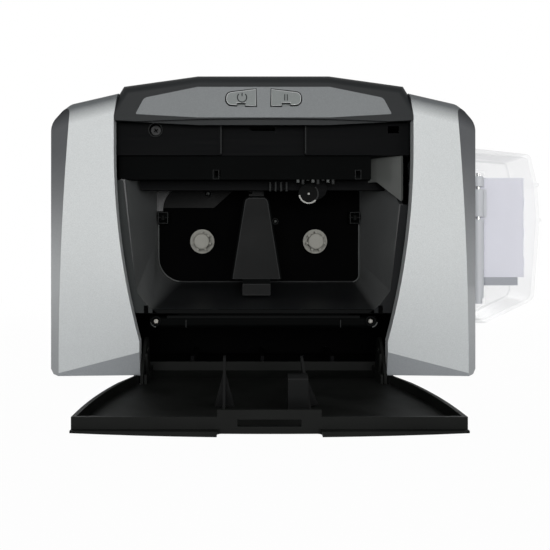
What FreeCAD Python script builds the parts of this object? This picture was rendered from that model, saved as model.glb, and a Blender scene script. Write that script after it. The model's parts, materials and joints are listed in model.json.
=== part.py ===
import FreeCAD, Part
import math
import os

# Desktop printer for plastic identity cards, seen with its front door let down.
# Millimetres. +X is the right-hand side seen from the front, +Y runs to the back and +Z up.
# While it is modelled, X = 0 is the middle of the body, Y = 0 its front face and Z = 0 the table.

# Body
body_width = 345.0
body_depth = 205.0
foot_height = 9.5
shell_wall = 2.8
shell_inner_top_drop = 14.5      # top of a side shell beside the cap
shoulder_x_inset = 19.0          # the shoulder slopes down from here to the side
shoulder_z_drop = 22.5
shoulder_low_drop = 36.6
shoulder_radius = 12.0
foot_chamfer = 3.5
return_depth = 12.0              # how far the front edge of the opening turns back
facet_depth = 16.0               # the dark side facet runs back this far
facet_foot_x_inset = 10.2
facet_top_x_inset = 19.0
facet_foot_z = 20.0
facet_top_z_drop = 27.5
lower_facet_drop = 16.5
lower_facet_rise = 19.0
lower_facet_depth = 5.0
rear_wall = 3.2
overrun = 20.0                   # how far every cutting shape runs past what it cuts
fit_gap = 0.3                    # play between neighbouring pieces that never move
slide_gap = 0.4                  # play beside a piece that moves
running_gap = 0.05               # radial play of a shaft in its bearing
seat_gap = 0.02                  # radial play of a pin that is pushed in

# Front opening, shared by the shells, the door and the bay
opening_top_share = 0.68870     # of half the body's width
opening_foot_share = 0.57101
opening_curve_top_z_drop = 58.5
opening_curve_foot_z = 37.0
opening_lean_z_drop = 32.5       # above this its sides lean in, beside the cap
opening_lean = 2.9

# Cap with its inlay and the two buttons
cap_top = 248.5
cap_side_top_drop = 8.3
cap_flat_half = 52.4
cap_corner_low_drop = 15.0       # the cap's upper corner is cut off from here to its top
cap_corner_run = 4.1
cap_front = 0.4
cap_setback = 4.0                # its lower edge stands back where the door laps over it
lip_gap = 0.7
cap_side_low_drop = 36.0
cap_low_drop = 39.3
cap_front_radius = 7.0
cap_wall = 2.6
inlay_half_inset = 17.1
inlay_low_drop = 33.9
inlay_end_low_drop = 31.2
inlay_shoulder_half_inset = 24.0
inlay_shoulder_z_drop = 18.3
inlay_foot_radius = 0.8
inlay_shoulder_radius = 6.0
inlay_top_drop = 9.7
inlay_thickness = 1.2
button_length = 23.4
button_inner_x = 6.1
button_low_drop = 25.1
button_inner_top_drop = 11.8
button_outer_low_drop = 23.9
button_outer_top_drop = 14.7
button_end_radius = 4.2
button_proud = 1.3
button_reach = 9.0
button_travel = 0.8
button_slot_width = 7.0
button_slot_height = 1.4

# Hinge of the door, and the door itself
pivot_y = 26.7
pivot_z = 26.7
door_gap = 1.1
door_front = 0.4
door_skin = 3.2
door_crown = 1.8                 # how far the middle of the door bulges to the front
door_corner_top_drop = 38.6
door_lip_crown = 3.2
rim_depth = 10.9
rim_wall = 2.8
rim_setback = 1.6                # near its foot the rim stands in from the edge of the skin
rim_taper_top = 90.0
rim_top_drop = 42.5
tail_low = 9.9
tail_reach = 15.0
tail_wall = 2.4
door_relief_top = 56.5         # below this the door is no wider than the foot of the opening
ear_thickness = 2.3
ear_radius = 10.8
ear_height = 29.0
ear_turn = 50.0                  # where its straight edge meets the round end, in degrees
arm_thickness = 1.8
arm_inset = 3.2
arm_width = 3.4
hinge_pin_radius = 3.0
hinge_pin_length = 9.5
hinge_boss_radius = 5.4
grip_half = 31.0
grip_depth = 8.5
grip_slot_half = 19.0
grip_slot_height = 4.2
grip_rise = 4.1                  # the lip stands higher behind the grip
fin_half_spacing = 28.5
fin_thickness = 1.8
fin_height = 39.5
fin_tip_radius = 2.7
fin_base = 30.0
fin_z_drop = 109.1
fin_lean = 8.0
fin_web_half = 6.8
fin_web_height = 26.0
tab_width = 13.2
tab_x = 19.9
tab_depth = 11.0
tab_height = 27.0
tab_z_drop = 90.5
tab_corner_radius = 3.0

# Ribbon bay behind the opening
bay_front = 13.5
bay_back = 111.0
bay_wall = 2.0
bay_top_drop = 62.5
bay_front_half_inset = 2.8
bay_waist_half_inset = -4.5
bay_waist_z = 76.0
bay_floor_half_inset = 8.0
bay_floor_z = 61.3
bay_back_left_inset = 22.3
bay_back_right_inset = 26.5
bay_back_floor_z = 78.8
bay_left_radius = 23.0
bay_right_radius = 6.0
bay_slope_low_drop = 102.0       # the right-hand wall is cut down at the front
bay_slope_back = 40.0
bay_web_x_inset = 27.4           # web across the upper left-hand corner of its back
bay_web_z_drop = 78.7
bay_web_radius = 23.0
bay_web_foot_drop = 103.1
bay_web_end = 66.0
bay_web_top_drop = 70.5

# Beams across the top of the opening
upper_beam_front = 14.0
upper_beam_low_drop = 62.2
beam_wall = 2.4
upper_beam_depth = 26.0
beam_rib_x = 35.4
beam_rib_width = 2.4
beam_rib_proud = 1.2
catch_slot_half = 9.5
catch_slot_height = 2.2
beam_recess = 4.5                # the web stands back between the ribs
beam_screw_radius = 3.9
beam_screw_x_inset = 31.6
beam_screw_z_drop = 41.9
beam_well_radius = 5.0
beam_well_depth = 4.0
beam_well_wall = 1.6
catch_pocket_left_inset = 17.8
catch_pocket_right_inset = 8.8
catch_pocket_low_drop = 44.5
lower_beam_front = 18.5
lower_beam_left_inset = 1.2
lower_beam_right_inset = 30.8
lower_beam_low_drop = 81.5
beam_notch_width = 4.5
beam_notch_height = 5.2
beam_notch_places = (-37.0, 78.0)

# Bar across the foot of the opening
bar_half_inset = 6.9
bar_front = 12.6
bar_depth = 11.5
bar_low = 46.2
bar_top = 55.6
bar_radius = 3.0
bar_seam_x = 62.4
bar_seam_width = 1.0
bar_pin_x_inset = 11.9
bar_pin_z = 52.0
bar_pin_radius = 2.0
bar_pin_proud = 0.7
bar_pin_length = 9.0
bar_web_half = 70.0
bar_web_depth = 4.0

# Drive plate across the body, with everything that turns in it
plate_y = 111.3
plate_thickness = 3.0
plate_half = 148.0
plate_screw_radius = 2.6
ribbon_z = 117.2
supply_x = -54.8
takeup_x = 50.2
shaft_radius = 3.0
hub_flange_radius = 11.2
hub_flange = 2.6
hub_radius = 7.4
hub_length = 12.0
hub_cap_radius = 1.6
spline_count = 7
spline_width = 2.0
spline_height = 1.7
spindle_gap = 0.6
side_plate_thickness = 2.0
side_plate_left_inset = 25.3
side_plate_knee = 44.0
side_plate_right = 20.6
side_plate_low_drop = 99.9
side_plate_step_z_drop = 78.5
side_plate_top_drop = 72.5
side_plate_screw_x = 49.7
side_plate_screw_z_drop = 86.5

# Gears behind the drive plate
gear_module = 1.0
gear_width = 5.0
gear_y = 115.4
pressure_angle = 20.0
tooth_backlash = 0.22
root_share = 1.25                # depth of the tooth spaces below the pitch line, in modules
takeup_teeth = 36
ribbon_pinion_teeth = 14
encoder_radius = 15.0
encoder_thickness = 1.0
encoder_slots = 12
encoder_slot_width = 2.6
roller_teeth = 24
feed_pinion_teeth = 16
gear_hub_radius = 5.6
gear_hub_length = 3.0
motor_radius = 13.0
motor_length = 34.0
motor_shaft_radius = 1.5
motor_boss_radius = 5.0
motor_boss = 2.2
motor_gap = 1.6
motor_post_radius = 1.8
motor_post_inset = 2.0
ribbon_motor_angle = -38.0

# Card path
card_length = 85.6
card_width = 54.0
card_front = 52.0
card_slot_half = 2.4
card_slot_play = 0.9
card_path_z_drop = 76.5
platen_x = -5.5
platen_radius = 7.0
platen_rubber = 2.0
feed_roller_x = 33.0
feed_roller_radius = 5.5
roller_front = 49.0
roller_collar = 1.6
path_plate_y = 43.0
path_plate_thickness = 2.5
path_plate_low_drop = 88.5
path_plate_half_inset = 15.2
path_knob_x = 45.0
path_knob_z_drop = 87.5
path_knob_radius = 9.0
path_knob_length = 7.0
path_knob_step = 1.6

# Print head on its tower
tower_front = 58.0
tower_top_half = 10.6
tower_base_half = 22.2
tower_x = -5.0
tower_top_z_drop = 92.3
tower_base_z = 84.2
tower_radius = 6.0
head_width = 13.0
head_height = 11.5
head_line_width = 2.4
head_line_height = 1.0
tower_clip_half = 12.0
tower_clip_height = 8.0
tower_clip_depth = 12.0
bay_clip_width = 11.0
bay_clip_height = 12.0
bay_clip_z_drop = 109.5
bay_clip_thickness = 5.0

# Guard beside the right-hand end of the card path
guard_left_inset = 29.6
guard_bend_x_inset = 23.8
guard_right_inset = 6.8
guard_front = 15.5
guard_bend_y = 33.0
guard_back = 40.6
guard_top_drop = 62.5
guard_low_left_drop = 82.3
guard_low_right_drop = 99.5
guard_shift_x = 1.8              # its two faces lie this far apart along X and Y
guard_shift_y = 1.6

# Card hopper on the right-hand side
hopper_front = 48.0
hopper_depth = 62.0
hopper_low = 47.0
hopper_top_drop = 51.5
hopper_reach = 64.5              # how far the cover stands out from the body
hopper_wall = 2.2
hopper_foot_run = 41.0
hopper_foot_rise = 20.0
hopper_foot_lean = 5.0
hopper_waist_z_drop = 113.5
hopper_shoulder_z_drop = 83.5
hopper_shoulder_lean = 2.0
hopper_head_lean = 8.0
hopper_head_drop = 6.0
hopper_bulge_radius = 40.0
hopper_corner_radius = 9.0
barrel_radius = 4.6
barrel_x = 183.8
barrel_low = 63.8
barrel_step_z = 68.7
barrel_mid_low_drop = 113.1
barrel_mid_top_drop = 85.2
barrel_top_drop = 73.7
barrel_step = 1.2
hopper_pin_radius = 1.6
knuckle_gap = 2.2
knuckle_reach = 3.3
bead_radius = 1.3
bead_left = 219.0
stack_top_drop = 77.1
lift_tray_top = 86.0
lift_tray_thickness = 7.0
lift_setback = 5.8
lift_tongue = 8.0
lift_slot_low = 60.0
pick_radius = 6.0
pick_inset = 12.0
card_play = 8.8
stack_layers = 10
card_corner_radius = 3.18
stack_offset = 0.35

# Rear wall
vent_count = 9
vent_width = 46.0
vent_height = 3.0
vent_pitch = 8.0
vent_x = -70.0
vent_z = 120.0
jack_x = -110.0
socket_z = 34.0
jack_radius = 4.2
jack_wall = 0.9
jack_housing = 11.0
jack_depth = 14.0
usb_x = -82.0
usb_width = 12.0
usb_height = 10.6
usb_wall = 0.6
usb_tongue = 5.6
usb_depth = 16.0
lock_x = 120.0
lock_width = 7.0
lock_height = 3.0
rear_screw_radius = 3.4
rear_screw_inset = 14.0

# Base
pan_thickness = 3.0
pan_rim = 9.0
pan_rib_height = 6.0
pan_rib_places = (-60.0, 0.0, 60.0)
notch_depth = 50.0
foot_radius = 9.0
foot_inset_x = 32.0
foot_inset_y = 30.0
front_foot_x_inset = 14.5        # the front feet stand behind the open door
front_foot_y = 62.0
foot_recess = 1.0
bracket_thickness = 3.2
bracket_radius = 9.0
bracket_corner_radius = 7.2
bracket_foot = 14.0
board_width = 150.0
board_share = 0.688              # of the room behind the drive plate
board_thickness = 1.6
board_lift = 8.0
board_post_radius = 3.0
chip_size = 16.0
chip_height = 2.4

# Worked out from the sizes above
body_half = body_width / 2
opening_top_half = body_half * opening_top_share
opening_foot_half = body_half * opening_foot_share
shell_inner_top = cap_top - shell_inner_top_drop
shoulder_z = cap_top - shoulder_z_drop
shoulder_low = cap_top - shoulder_low_drop
opening_curve_top_z = cap_top - opening_curve_top_z_drop
opening_lean_z = cap_top - opening_lean_z_drop
cap_side_top = cap_top - cap_side_top_drop
cap_corner_low = cap_top - cap_corner_low_drop
cap_side_low = cap_top - cap_side_low_drop
cap_low = cap_top - cap_low_drop
inlay_low = cap_top - inlay_low_drop
inlay_end_low = cap_top - inlay_end_low_drop
inlay_shoulder_z = cap_top - inlay_shoulder_z_drop
inlay_top = cap_top - inlay_top_drop
button_low = cap_top - button_low_drop
button_inner_top = cap_top - button_inner_top_drop
button_outer_low = cap_top - button_outer_low_drop
button_outer_top = cap_top - button_outer_top_drop
door_corner_top = cap_top - door_corner_top_drop
rim_top = cap_top - rim_top_drop
facet_top_z = cap_top - facet_top_z_drop
fin_z = cap_top - fin_z_drop
tab_z = cap_top - tab_z_drop
bay_top = cap_top - bay_top_drop
bay_slope_low = cap_top - bay_slope_low_drop
bay_web_z = cap_top - bay_web_z_drop
bay_web_foot = cap_top - bay_web_foot_drop
bay_web_top = cap_top - bay_web_top_drop
beam_screw_z = cap_top - beam_screw_z_drop
catch_pocket_low = cap_top - catch_pocket_low_drop
upper_beam_low = cap_top - upper_beam_low_drop
lower_beam_low = cap_top - lower_beam_low_drop
side_plate_low = cap_top - side_plate_low_drop
side_plate_step_z = cap_top - side_plate_step_z_drop
side_plate_top = cap_top - side_plate_top_drop
side_plate_screw_z = cap_top - side_plate_screw_z_drop
card_path_z = cap_top - card_path_z_drop
path_plate_low = cap_top - path_plate_low_drop
path_knob_z = cap_top - path_knob_z_drop
tower_top_z = cap_top - tower_top_z_drop
bay_clip_z = cap_top - bay_clip_z_drop
guard_top = cap_top - guard_top_drop
guard_low_left = cap_top - guard_low_left_drop
guard_low_right = cap_top - guard_low_right_drop
hopper_top = cap_top - hopper_top_drop
hopper_waist_z = cap_top - hopper_waist_z_drop
hopper_shoulder_z = cap_top - hopper_shoulder_z_drop
barrel_mid_low = cap_top - barrel_mid_low_drop
barrel_mid_top = cap_top - barrel_mid_top_drop
barrel_top = cap_top - barrel_top_drop
stack_top = cap_top - stack_top_drop
shoulder_x = body_half - shoulder_x_inset
facet_foot_x = body_half - facet_foot_x_inset
facet_top_x = body_half - facet_top_x_inset
bay_front_half = opening_top_half - bay_front_half_inset
lower_beam_left = opening_top_half - lower_beam_left_inset
lower_beam_right = opening_top_half - lower_beam_right_inset
guard_left = opening_top_half - guard_left_inset
guard_bend_x = opening_top_half - guard_bend_x_inset
guard_right = opening_top_half - guard_right_inset
path_plate_half = opening_top_half - path_plate_half_inset
catch_pocket_left = opening_top_half - catch_pocket_left_inset
catch_pocket_right = opening_top_half - catch_pocket_right_inset
beam_screw_x = opening_top_half - beam_screw_x_inset
inlay_half = opening_top_half - inlay_half_inset
inlay_shoulder_half = opening_top_half - inlay_shoulder_half_inset
bay_back_left = opening_top_half - bay_back_left_inset
bay_back_right = opening_top_half - bay_back_right_inset
side_plate_left = opening_top_half - side_plate_left_inset
bay_web_x = opening_top_half - bay_web_x_inset
bay_waist_half = opening_foot_half - bay_waist_half_inset
bay_floor_half = opening_foot_half - bay_floor_half_inset
bar_half = opening_foot_half - bar_half_inset
bar_pin_x = opening_foot_half - bar_pin_x_inset
front_foot_x = opening_foot_half - front_foot_x_inset
bead_places = (hopper_waist_z, hopper_shoulder_z)
shell_depth = body_depth - rear_wall - fit_gap
base_top = foot_height + pan_thickness
plate_back = plate_y + plate_thickness
roller_back = plate_back + spindle_gap
door_front_inner = door_front + door_skin
swing_radius = pivot_y - door_front
bracket_x = opening_foot_half + shell_wall + fit_gap
beam_half = opening_top_half - fit_gap
upper_beam_top = cap_side_low - fit_gap
plate_top = cap_side_low - fit_gap
gear_back = gear_y + gear_width
board_depth = (shell_depth - plate_back) * board_share
barrel_y = hopper_front + hopper_wall - barrel_radius
hopper_back = hopper_front + hopper_depth
hopper_outer = body_half + hopper_reach
stack_right = hopper_outer - hopper_wall - card_play
stack_left = stack_right - card_length
cup_left = stack_left - slide_gap * 2 - hopper_wall
pick_x = stack_left + pick_inset
pick_z = stack_top + fit_gap + pick_radius
platen_z = card_path_z + fit_gap + platen_radius
feed_roller_z = card_path_z + fit_gap + feed_roller_radius


def vec(axis, level, a, b):
    # a and b are (Y, Z), (X, Z) or (X, Y) on a plane square to the axis
    if axis == "x":
        return FreeCAD.Vector(level, a, b)
    if axis == "y":
        return FreeCAD.Vector(a, level, b)
    return FreeCAD.Vector(a, b, level)


def ring(corners, axis, level):
    # Closed wire through corners (a, b, radius), each rounded by its own radius
    count = len(corners)
    starts = []
    middles = []
    ends = []
    for i, (a, b, radius) in enumerate(corners):
        before = corners[i - 1]
        after = corners[(i + 1) % count]
        if radius == 0:
            starts.append((a, b))
            middles.append(None)
            ends.append((a, b))
            continue
        to_before = math.hypot(before[0] - a, before[1] - b)
        to_after = math.hypot(after[0] - a, after[1] - b)
        back = ((before[0] - a) / to_before, (before[1] - b) / to_before)
        ahead = ((after[0] - a) / to_after, (after[1] - b) / to_after)
        half_angle = math.acos(back[0] * ahead[0] + back[1] * ahead[1]) / 2
        run = radius / math.tan(half_angle)
        bisector = (back[0] + ahead[0], back[1] + ahead[1])
        size = math.hypot(bisector[0], bisector[1])
        inset = radius / math.sin(half_angle) - radius
        starts.append((a + back[0] * run, b + back[1] * run))
        middles.append((a + bisector[0] / size * inset, b + bisector[1] / size * inset))
        ends.append((a + ahead[0] * run, b + ahead[1] * run))
    edges = []
    for i in range(count):
        start = vec(axis, level, *starts[i])
        end = vec(axis, level, *ends[i])
        following = vec(axis, level, *starts[(i + 1) % count])
        if middles[i] is not None:
            edges.append(Part.Arc(start, vec(axis, level, *middles[i]), end).toShape())
        if end.distanceToPoint(following) > running_gap / 100:
            edges.append(Part.makeLine(end, following))
    return Part.Wire(edges)


def prism(corners, axis, low, high):
    face = Part.Face(ring(corners, axis, low))
    return face.extrude(vec(axis, high - low, 0, 0))


def square(left, low, right, top, radius=0):
    return [(left, low, radius), (right, low, radius), (right, top, radius), (left, top, radius)]


def block(left, front, low, right, back, top, radius=0):
    return prism(square(left, low, right, top, radius), "y", front, back)


def rod(axis, a, b, radius, low, high):
    return Part.makeCylinder(radius, high - low, vec(axis, low, a, b), vec(axis, 1, 0, 0))


def mirrored(shape):
    return shape.mirror(FreeCAD.Vector(0, 0, 0), FreeCAD.Vector(1, 0, 0))


def fused(shapes):
    return shapes[0].fuse(shapes[1:]).removeSplitter()


def turned(shape, y, z, degrees):
    # Turned about a line along X through (y, z)
    result = shape.copy()
    result.rotate(FreeCAD.Vector(0, y, z), FreeCAD.Vector(1, 0, 0), degrees)
    return result


def opening_face(grow, y, low, high, crown=0):
    # The front opening: upright sides at the foot, then arcs that end upright near the top
    spread = opening_top_half - opening_foot_half
    climb = opening_curve_top_z - opening_curve_foot_z
    radius = (climb ** 2 + spread ** 2) / (2 * spread)
    turn = math.asin(climb / radius) / 2
    foot = opening_foot_half + grow
    top = opening_top_half + grow
    middle_x = top - radius + radius * math.cos(turn)
    middle_z = opening_curve_top_z - radius * math.sin(turn)
    points = {}
    for name, side in (("right", 1), ("left", -1)):
        points[name] = (
            FreeCAD.Vector(side * foot, y, low),
            FreeCAD.Vector(side * foot, y, opening_curve_foot_z),
            FreeCAD.Vector(side * middle_x, y, middle_z),
            FreeCAD.Vector(side * top, y, opening_curve_top_z),
            FreeCAD.Vector(side * top, y, high),
        )
    edges = []
    for low_point, curve_low, curve_mid, curve_top, high_point in points.values():
        edges.append(Part.makeLine(low_point, curve_low))
        edges.append(Part.Arc(curve_low, curve_mid, curve_top).toShape())
        edges.append(Part.makeLine(curve_top, high_point))
    edges.append(Part.makeLine(points["left"][0], points["right"][0]))
    if crown:
        peak = FreeCAD.Vector(0, y, high + crown)
        edges.append(Part.Arc(points["left"][4], peak, points["right"][4]).toShape())
    else:
        edges.append(Part.makeLine(points["left"][4], points["right"][4]))
    return Part.Face(Part.Wire(Part.__sortEdges__(edges)))


def opening_prism(grow, front, back, low, high, crown=0):
    return opening_face(grow, front, low, high, crown).extrude(FreeCAD.Vector(0, back - front, 0))


def facet_edge_x(z):
    # Where the bright front face ends and the dark side facet begins
    rise = max(z - facet_foot_z, 0) / (facet_top_z - facet_foot_z)
    return facet_foot_x - (facet_foot_x - facet_top_x) * rise ** 2


def facet_wedge(inset):
    # What the side facet takes off: sections through four heights, lofted
    wires = []
    for share in (0, 1 / 3, 2 / 3, 1):
        z = foot_height - overrun + share * (cap_top - foot_height + 2 * overrun)
        edge_x = facet_edge_x(z)
        run_x = body_half - edge_x
        length = math.hypot(run_x, facet_depth)
        along = FreeCAD.Vector(run_x / length, facet_depth / length, 0)
        outward = FreeCAD.Vector(along.y, -along.x, 0)
        start = FreeCAD.Vector(edge_x, 0, z) - outward * inset - along * overrun
        end = FreeCAD.Vector(body_half, facet_depth, z) - outward * inset + along * overrun
        corner = FreeCAD.Vector(end.x, start.y, z)
        wires.append(Part.makePolygon([start, end, corner, start]))
    return Part.makeLoft(wires, True)


def lower_facet(inset):
    # The face that looks down between the outer corner and the foot of the opening
    outer = FreeCAD.Vector(facet_foot_x, 0, foot_height + lower_facet_rise - lower_facet_drop)
    inner = FreeCAD.Vector(opening_foot_half, 0, foot_height + lower_facet_rise)
    under = FreeCAD.Vector(opening_foot_half, lower_facet_depth, foot_height)
    normal = (under - inner).cross(outer - inner)
    normal.normalize()
    if normal.y > 0:
        normal = normal * -1
    size = 2 * body_width
    beyond = Part.makeBox(size, size, size, FreeCAD.Vector(-size / 2, -size / 2, 0))
    turn = FreeCAD.Rotation(FreeCAD.Vector(0, 0, 1), normal)
    beyond.Placement = FreeCAD.Placement(outer - normal * inset, turn)
    return beyond


def body_outline(inset, low):
    # Front view of the right half, from the middle plane to the side
    side = body_half - inset
    chamfer = foot_chamfer if inset == 0 else 0
    slope = (shell_inner_top - shoulder_z) / (shoulder_x - opening_top_half)
    middle_top = shell_inner_top + slope * opening_top_half
    corners = [(0, low, 0), (side - chamfer, low, 0)]
    if chamfer:
        corners.append((side, low + chamfer, 0))
    corners.append((side, shoulder_low - inset / 2, shoulder_radius - inset))
    corners.append((shoulder_x - inset / 2, shoulder_z - inset, shoulder_radius - inset))
    corners.append((0, middle_top - inset, 0))
    return corners


def side_block(inset):
    low = foot_height - (overrun if inset else 0)
    back = shell_depth + (overrun if inset else 0)
    solid = prism(body_outline(inset, low), "y", inset, back)
    if inset == 0:
        rounded = []
        for edge in solid.Edges:
            box = edge.BoundBox
            if box.YMax < running_gap and box.ZMin > shoulder_low - shoulder_radius:
                rounded.append(edge)
        solid = solid.makeFillet(cap_front_radius, rounded)
    return solid.cut([facet_wedge(inset), lower_facet(inset)])


def lean_run(z):
    # How far the sides of the opening have leant in at this height
    return opening_lean * max(z - opening_lean_z, 0) / (shell_inner_top - opening_lean_z)


def lean_wedge():
    top = cap_top + 2 * overrun
    corners = [
        (opening_top_half, opening_lean_z, 0),
        (opening_top_half + overrun, opening_lean_z, 0),
        (opening_top_half + overrun, top, 0),
        (opening_top_half - lean_run(top), top, 0),
    ]
    return prism(corners, "y", -2 * overrun, body_depth + 2 * overrun)


def right_shell():
    lip = opening_prism(shell_wall, 0, return_depth, -overrun, cap_top + overrun)
    cavity = side_block(shell_wall).cut(lip)
    opening = opening_prism(0, -overrun, body_depth + overrun, -overrun, cap_top + overrun).cut(lean_wedge())
    return side_block(0).cut(cavity).cut(opening)


def right_shell_with_hopper():
    # The right-hand shell is open where the hopper's frame stands in it
    window = block(
        body_half - overrun,
        hopper_front - fit_gap,
        hopper_low - fit_gap,
        body_half + overrun,
        hopper_back + fit_gap,
        hopper_top + fit_gap,
        hopper_corner_radius,
    )
    return right_shell().cut(window)


def cap_outline(inset, low_inset):
    side = opening_top_half - fit_gap - inset
    corner = side - lean_run(cap_corner_low)
    right = [
        (side, cap_side_low - low_inset, 0),
        (side, opening_lean_z, 0),
        (corner, cap_corner_low, 0),
        (corner - cap_corner_run + inset / 2, cap_side_top - inset, 0),
        (cap_flat_half, cap_top - inset, 0),
    ]
    left = [(-x, z, radius) for x, z, radius in reversed(right)]
    low = cap_low - low_inset
    return right + left + [(-cap_flat_half, low, 0), (cap_flat_half, low, 0)]


def button_outline(grow):
    inner = button_inner_x - grow
    outer = button_inner_x + button_length + grow
    return [
        (inner, button_low - grow, 0),
        (outer, button_outer_low - grow, button_end_radius),
        (outer, button_outer_top + grow, button_end_radius),
        (inner, button_inner_top + grow, 0),
    ]


def inlay_outline():
    right = [
        (cap_flat_half, inlay_low, 0),
        (inlay_half, inlay_end_low, inlay_foot_radius),
        (inlay_shoulder_half, inlay_shoulder_z, inlay_shoulder_radius),
        (cap_flat_half, inlay_top, 0),
    ]
    left = [(-x, z, radius) for x, z, radius in reversed(right)]
    return right + left


def button_holes():
    hole = prism(button_outline(slide_gap), "y", -overrun, overrun)
    return [hole, mirrored(hole)]


def top_cap():
    solid = prism(cap_outline(0, 0), "y", cap_front, shell_depth)
    rounded = []
    for edge in solid.Edges:
        box = edge.BoundBox
        if box.YMax < cap_front + running_gap and box.ZMin > cap_corner_low - running_gap:
            rounded.append(edge)
    solid = solid.makeFillet(cap_front_radius, rounded)
    cavity = prism(cap_outline(cap_wall, overrun), "y", cap_setback + cap_wall, shell_depth + overrun)
    recess = prism(inlay_outline(), "y", -overrun, cap_front + inlay_thickness)
    rebate = opening_prism(0, -overrun, cap_setback, cap_low - overrun, door_corner_top + lip_gap, door_lip_crown)
    return solid.cut([cavity, recess, rebate] + button_holes())


def control_inlay():
    plate = prism(inlay_outline(), "y", cap_front, cap_front + inlay_thickness)
    return plate.cut(button_holes())


def pause_button():
    # Pressed straight in; a lamp slot opens at its lower edge
    solid = prism(button_outline(0), "y", cap_front - button_proud, cap_setback + button_reach)
    slot_middle = button_inner_x + button_length / 2
    slot = block(
        slot_middle - button_slot_width / 2,
        cap_front - overrun,
        button_low - overrun,
        slot_middle + button_slot_width / 2,
        cap_front + inlay_thickness,
        button_outer_low + button_slot_height,
    )
    flange_grow = slide_gap * 4
    flange_front = cap_setback + cap_wall + button_travel
    flange = prism(button_outline(flange_grow), "y", flange_front, cap_setback + button_reach)
    return fused([solid.cut(slot), flange])


def door_side_view(skin_only):
    # Side view of the closed door: an upright panel whose foot curls round the hinge line
    inner_radius = swing_radius - tail_wall
    panel = door_front + (door_skin if skin_only else rim_depth - door_front)
    top = door_corner_top + overrun
    drop = pivot_z - tail_low
    inner_drop = drop - tail_wall
    outer_end = (pivot_y - math.sqrt(swing_radius ** 2 - drop ** 2), tail_low)
    inner_end = (pivot_y - math.sqrt(inner_radius ** 2 - inner_drop ** 2), tail_low + tail_wall)
    outer_half = math.asin(drop / swing_radius) / 2
    inner_half = math.asin(inner_drop / inner_radius) / 2
    outer_mid = (pivot_y - swing_radius * math.cos(outer_half), pivot_z - swing_radius * math.sin(outer_half))
    inner_mid = (pivot_y - inner_radius * math.cos(inner_half), pivot_z - inner_radius * math.sin(inner_half))
    low_left = -opening_top_half - overrun
    point = [FreeCAD.Vector(low_left, y, z) for y, z in (
        (door_front, top),
        (door_front, pivot_z),
        outer_mid,
        outer_end,
        (tail_reach, tail_low),
        (tail_reach, tail_low + tail_wall),
        inner_end,
        inner_mid,
        (pivot_y - inner_radius, pivot_z),
        (panel, pivot_z),
        (panel, top),
    )]
    edges = [
        Part.makeLine(point[0], point[1]),
        Part.Arc(point[1], point[2], point[3]).toShape(),
        Part.makeLine(point[3], point[4]),
        Part.makeLine(point[4], point[5]),
        Part.makeLine(point[5], point[6]),
        Part.Arc(point[6], point[7], point[8]).toShape(),
        Part.makeLine(point[8], point[9]),
        Part.makeLine(point[9], point[10]),
        Part.makeLine(point[10], point[0]),
    ]
    face = Part.Face(Part.Wire(edges))
    return face.extrude(FreeCAD.Vector(-2 * low_left, 0, 0))


def door_plan(inset, low, high, crown=0):
    return opening_prism(-door_gap - inset, -overrun, pivot_y + overrun, low, high, crown)


def door_ear():
    # Plate at the side of the door that carries its hinge
    outer = opening_foot_half - door_gap
    inner = outer - ear_thickness
    half_turn = math.radians(ear_turn)
    shoulder = (pivot_y + ear_radius * math.cos(half_turn), pivot_z + ear_radius * math.sin(half_turn))
    foot = (pivot_y - ear_radius * math.sin(half_turn / 5), pivot_z - ear_radius * math.cos(half_turn / 5))
    corners = [
        (door_front_inner, pivot_z + ear_height, 0),
        (rim_depth, pivot_z + ear_height, 0),
        shoulder + (0,),
        foot + (0,),
        (tail_reach - tail_wall, tail_low + tail_wall / 2, 0),
        (door_front_inner + tail_wall, pivot_z - ear_radius, 0),
        (door_front_inner, pivot_z, 0),
    ]
    plate = prism(corners, "x", inner, outer)
    round_end = rod("x", pivot_y, pivot_z, ear_radius, inner, outer)
    return plate.fuse(round_end)


def door_arm():
    # Curved web inside the ear
    outer = opening_foot_half - door_gap - arm_inset
    inner = outer - arm_thickness
    arm_outer = swing_radius - tail_wall + running_gap
    full = rod("x", pivot_y, pivot_z, arm_outer, inner, outer)
    hollow = rod("x", pivot_y, pivot_z, arm_outer - arm_width, inner, outer)
    keep = block(inner, -overrun, tail_low + tail_wall, outer, pivot_y, 2 * pivot_z)
    rim = block(inner, door_front_inner, pivot_z, outer, rim_depth, pivot_z + ear_height)
    return full.cut(hollow).common(keep).fuse(rim)


def opening_half(z):
    # Half the width of the opening at a height on its arcs
    spread = opening_top_half - opening_foot_half
    climb = opening_curve_top_z - opening_curve_foot_z
    radius = (climb ** 2 + spread ** 2) / (2 * spread)
    return opening_top_half - radius + math.sqrt(radius ** 2 - (opening_curve_top_z - z) ** 2)


def rim_taper():
    # Above the hinge the rim draws in a little, so that it swings out past the narrowing opening
    top_x = opening_half(rim_taper_top) - door_gap
    low_x = opening_half(door_relief_top) - door_gap - rim_setback
    low_z = door_relief_top - fit_gap
    corners = [
        (low_x, low_z, 0),
        (opening_top_half + overrun, low_z, 0),
        (opening_top_half + overrun, rim_taper_top, 0),
        (top_x, rim_taper_top, 0),
    ]
    return prism(corners, "y", door_front_inner, pivot_y + overrun)


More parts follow.
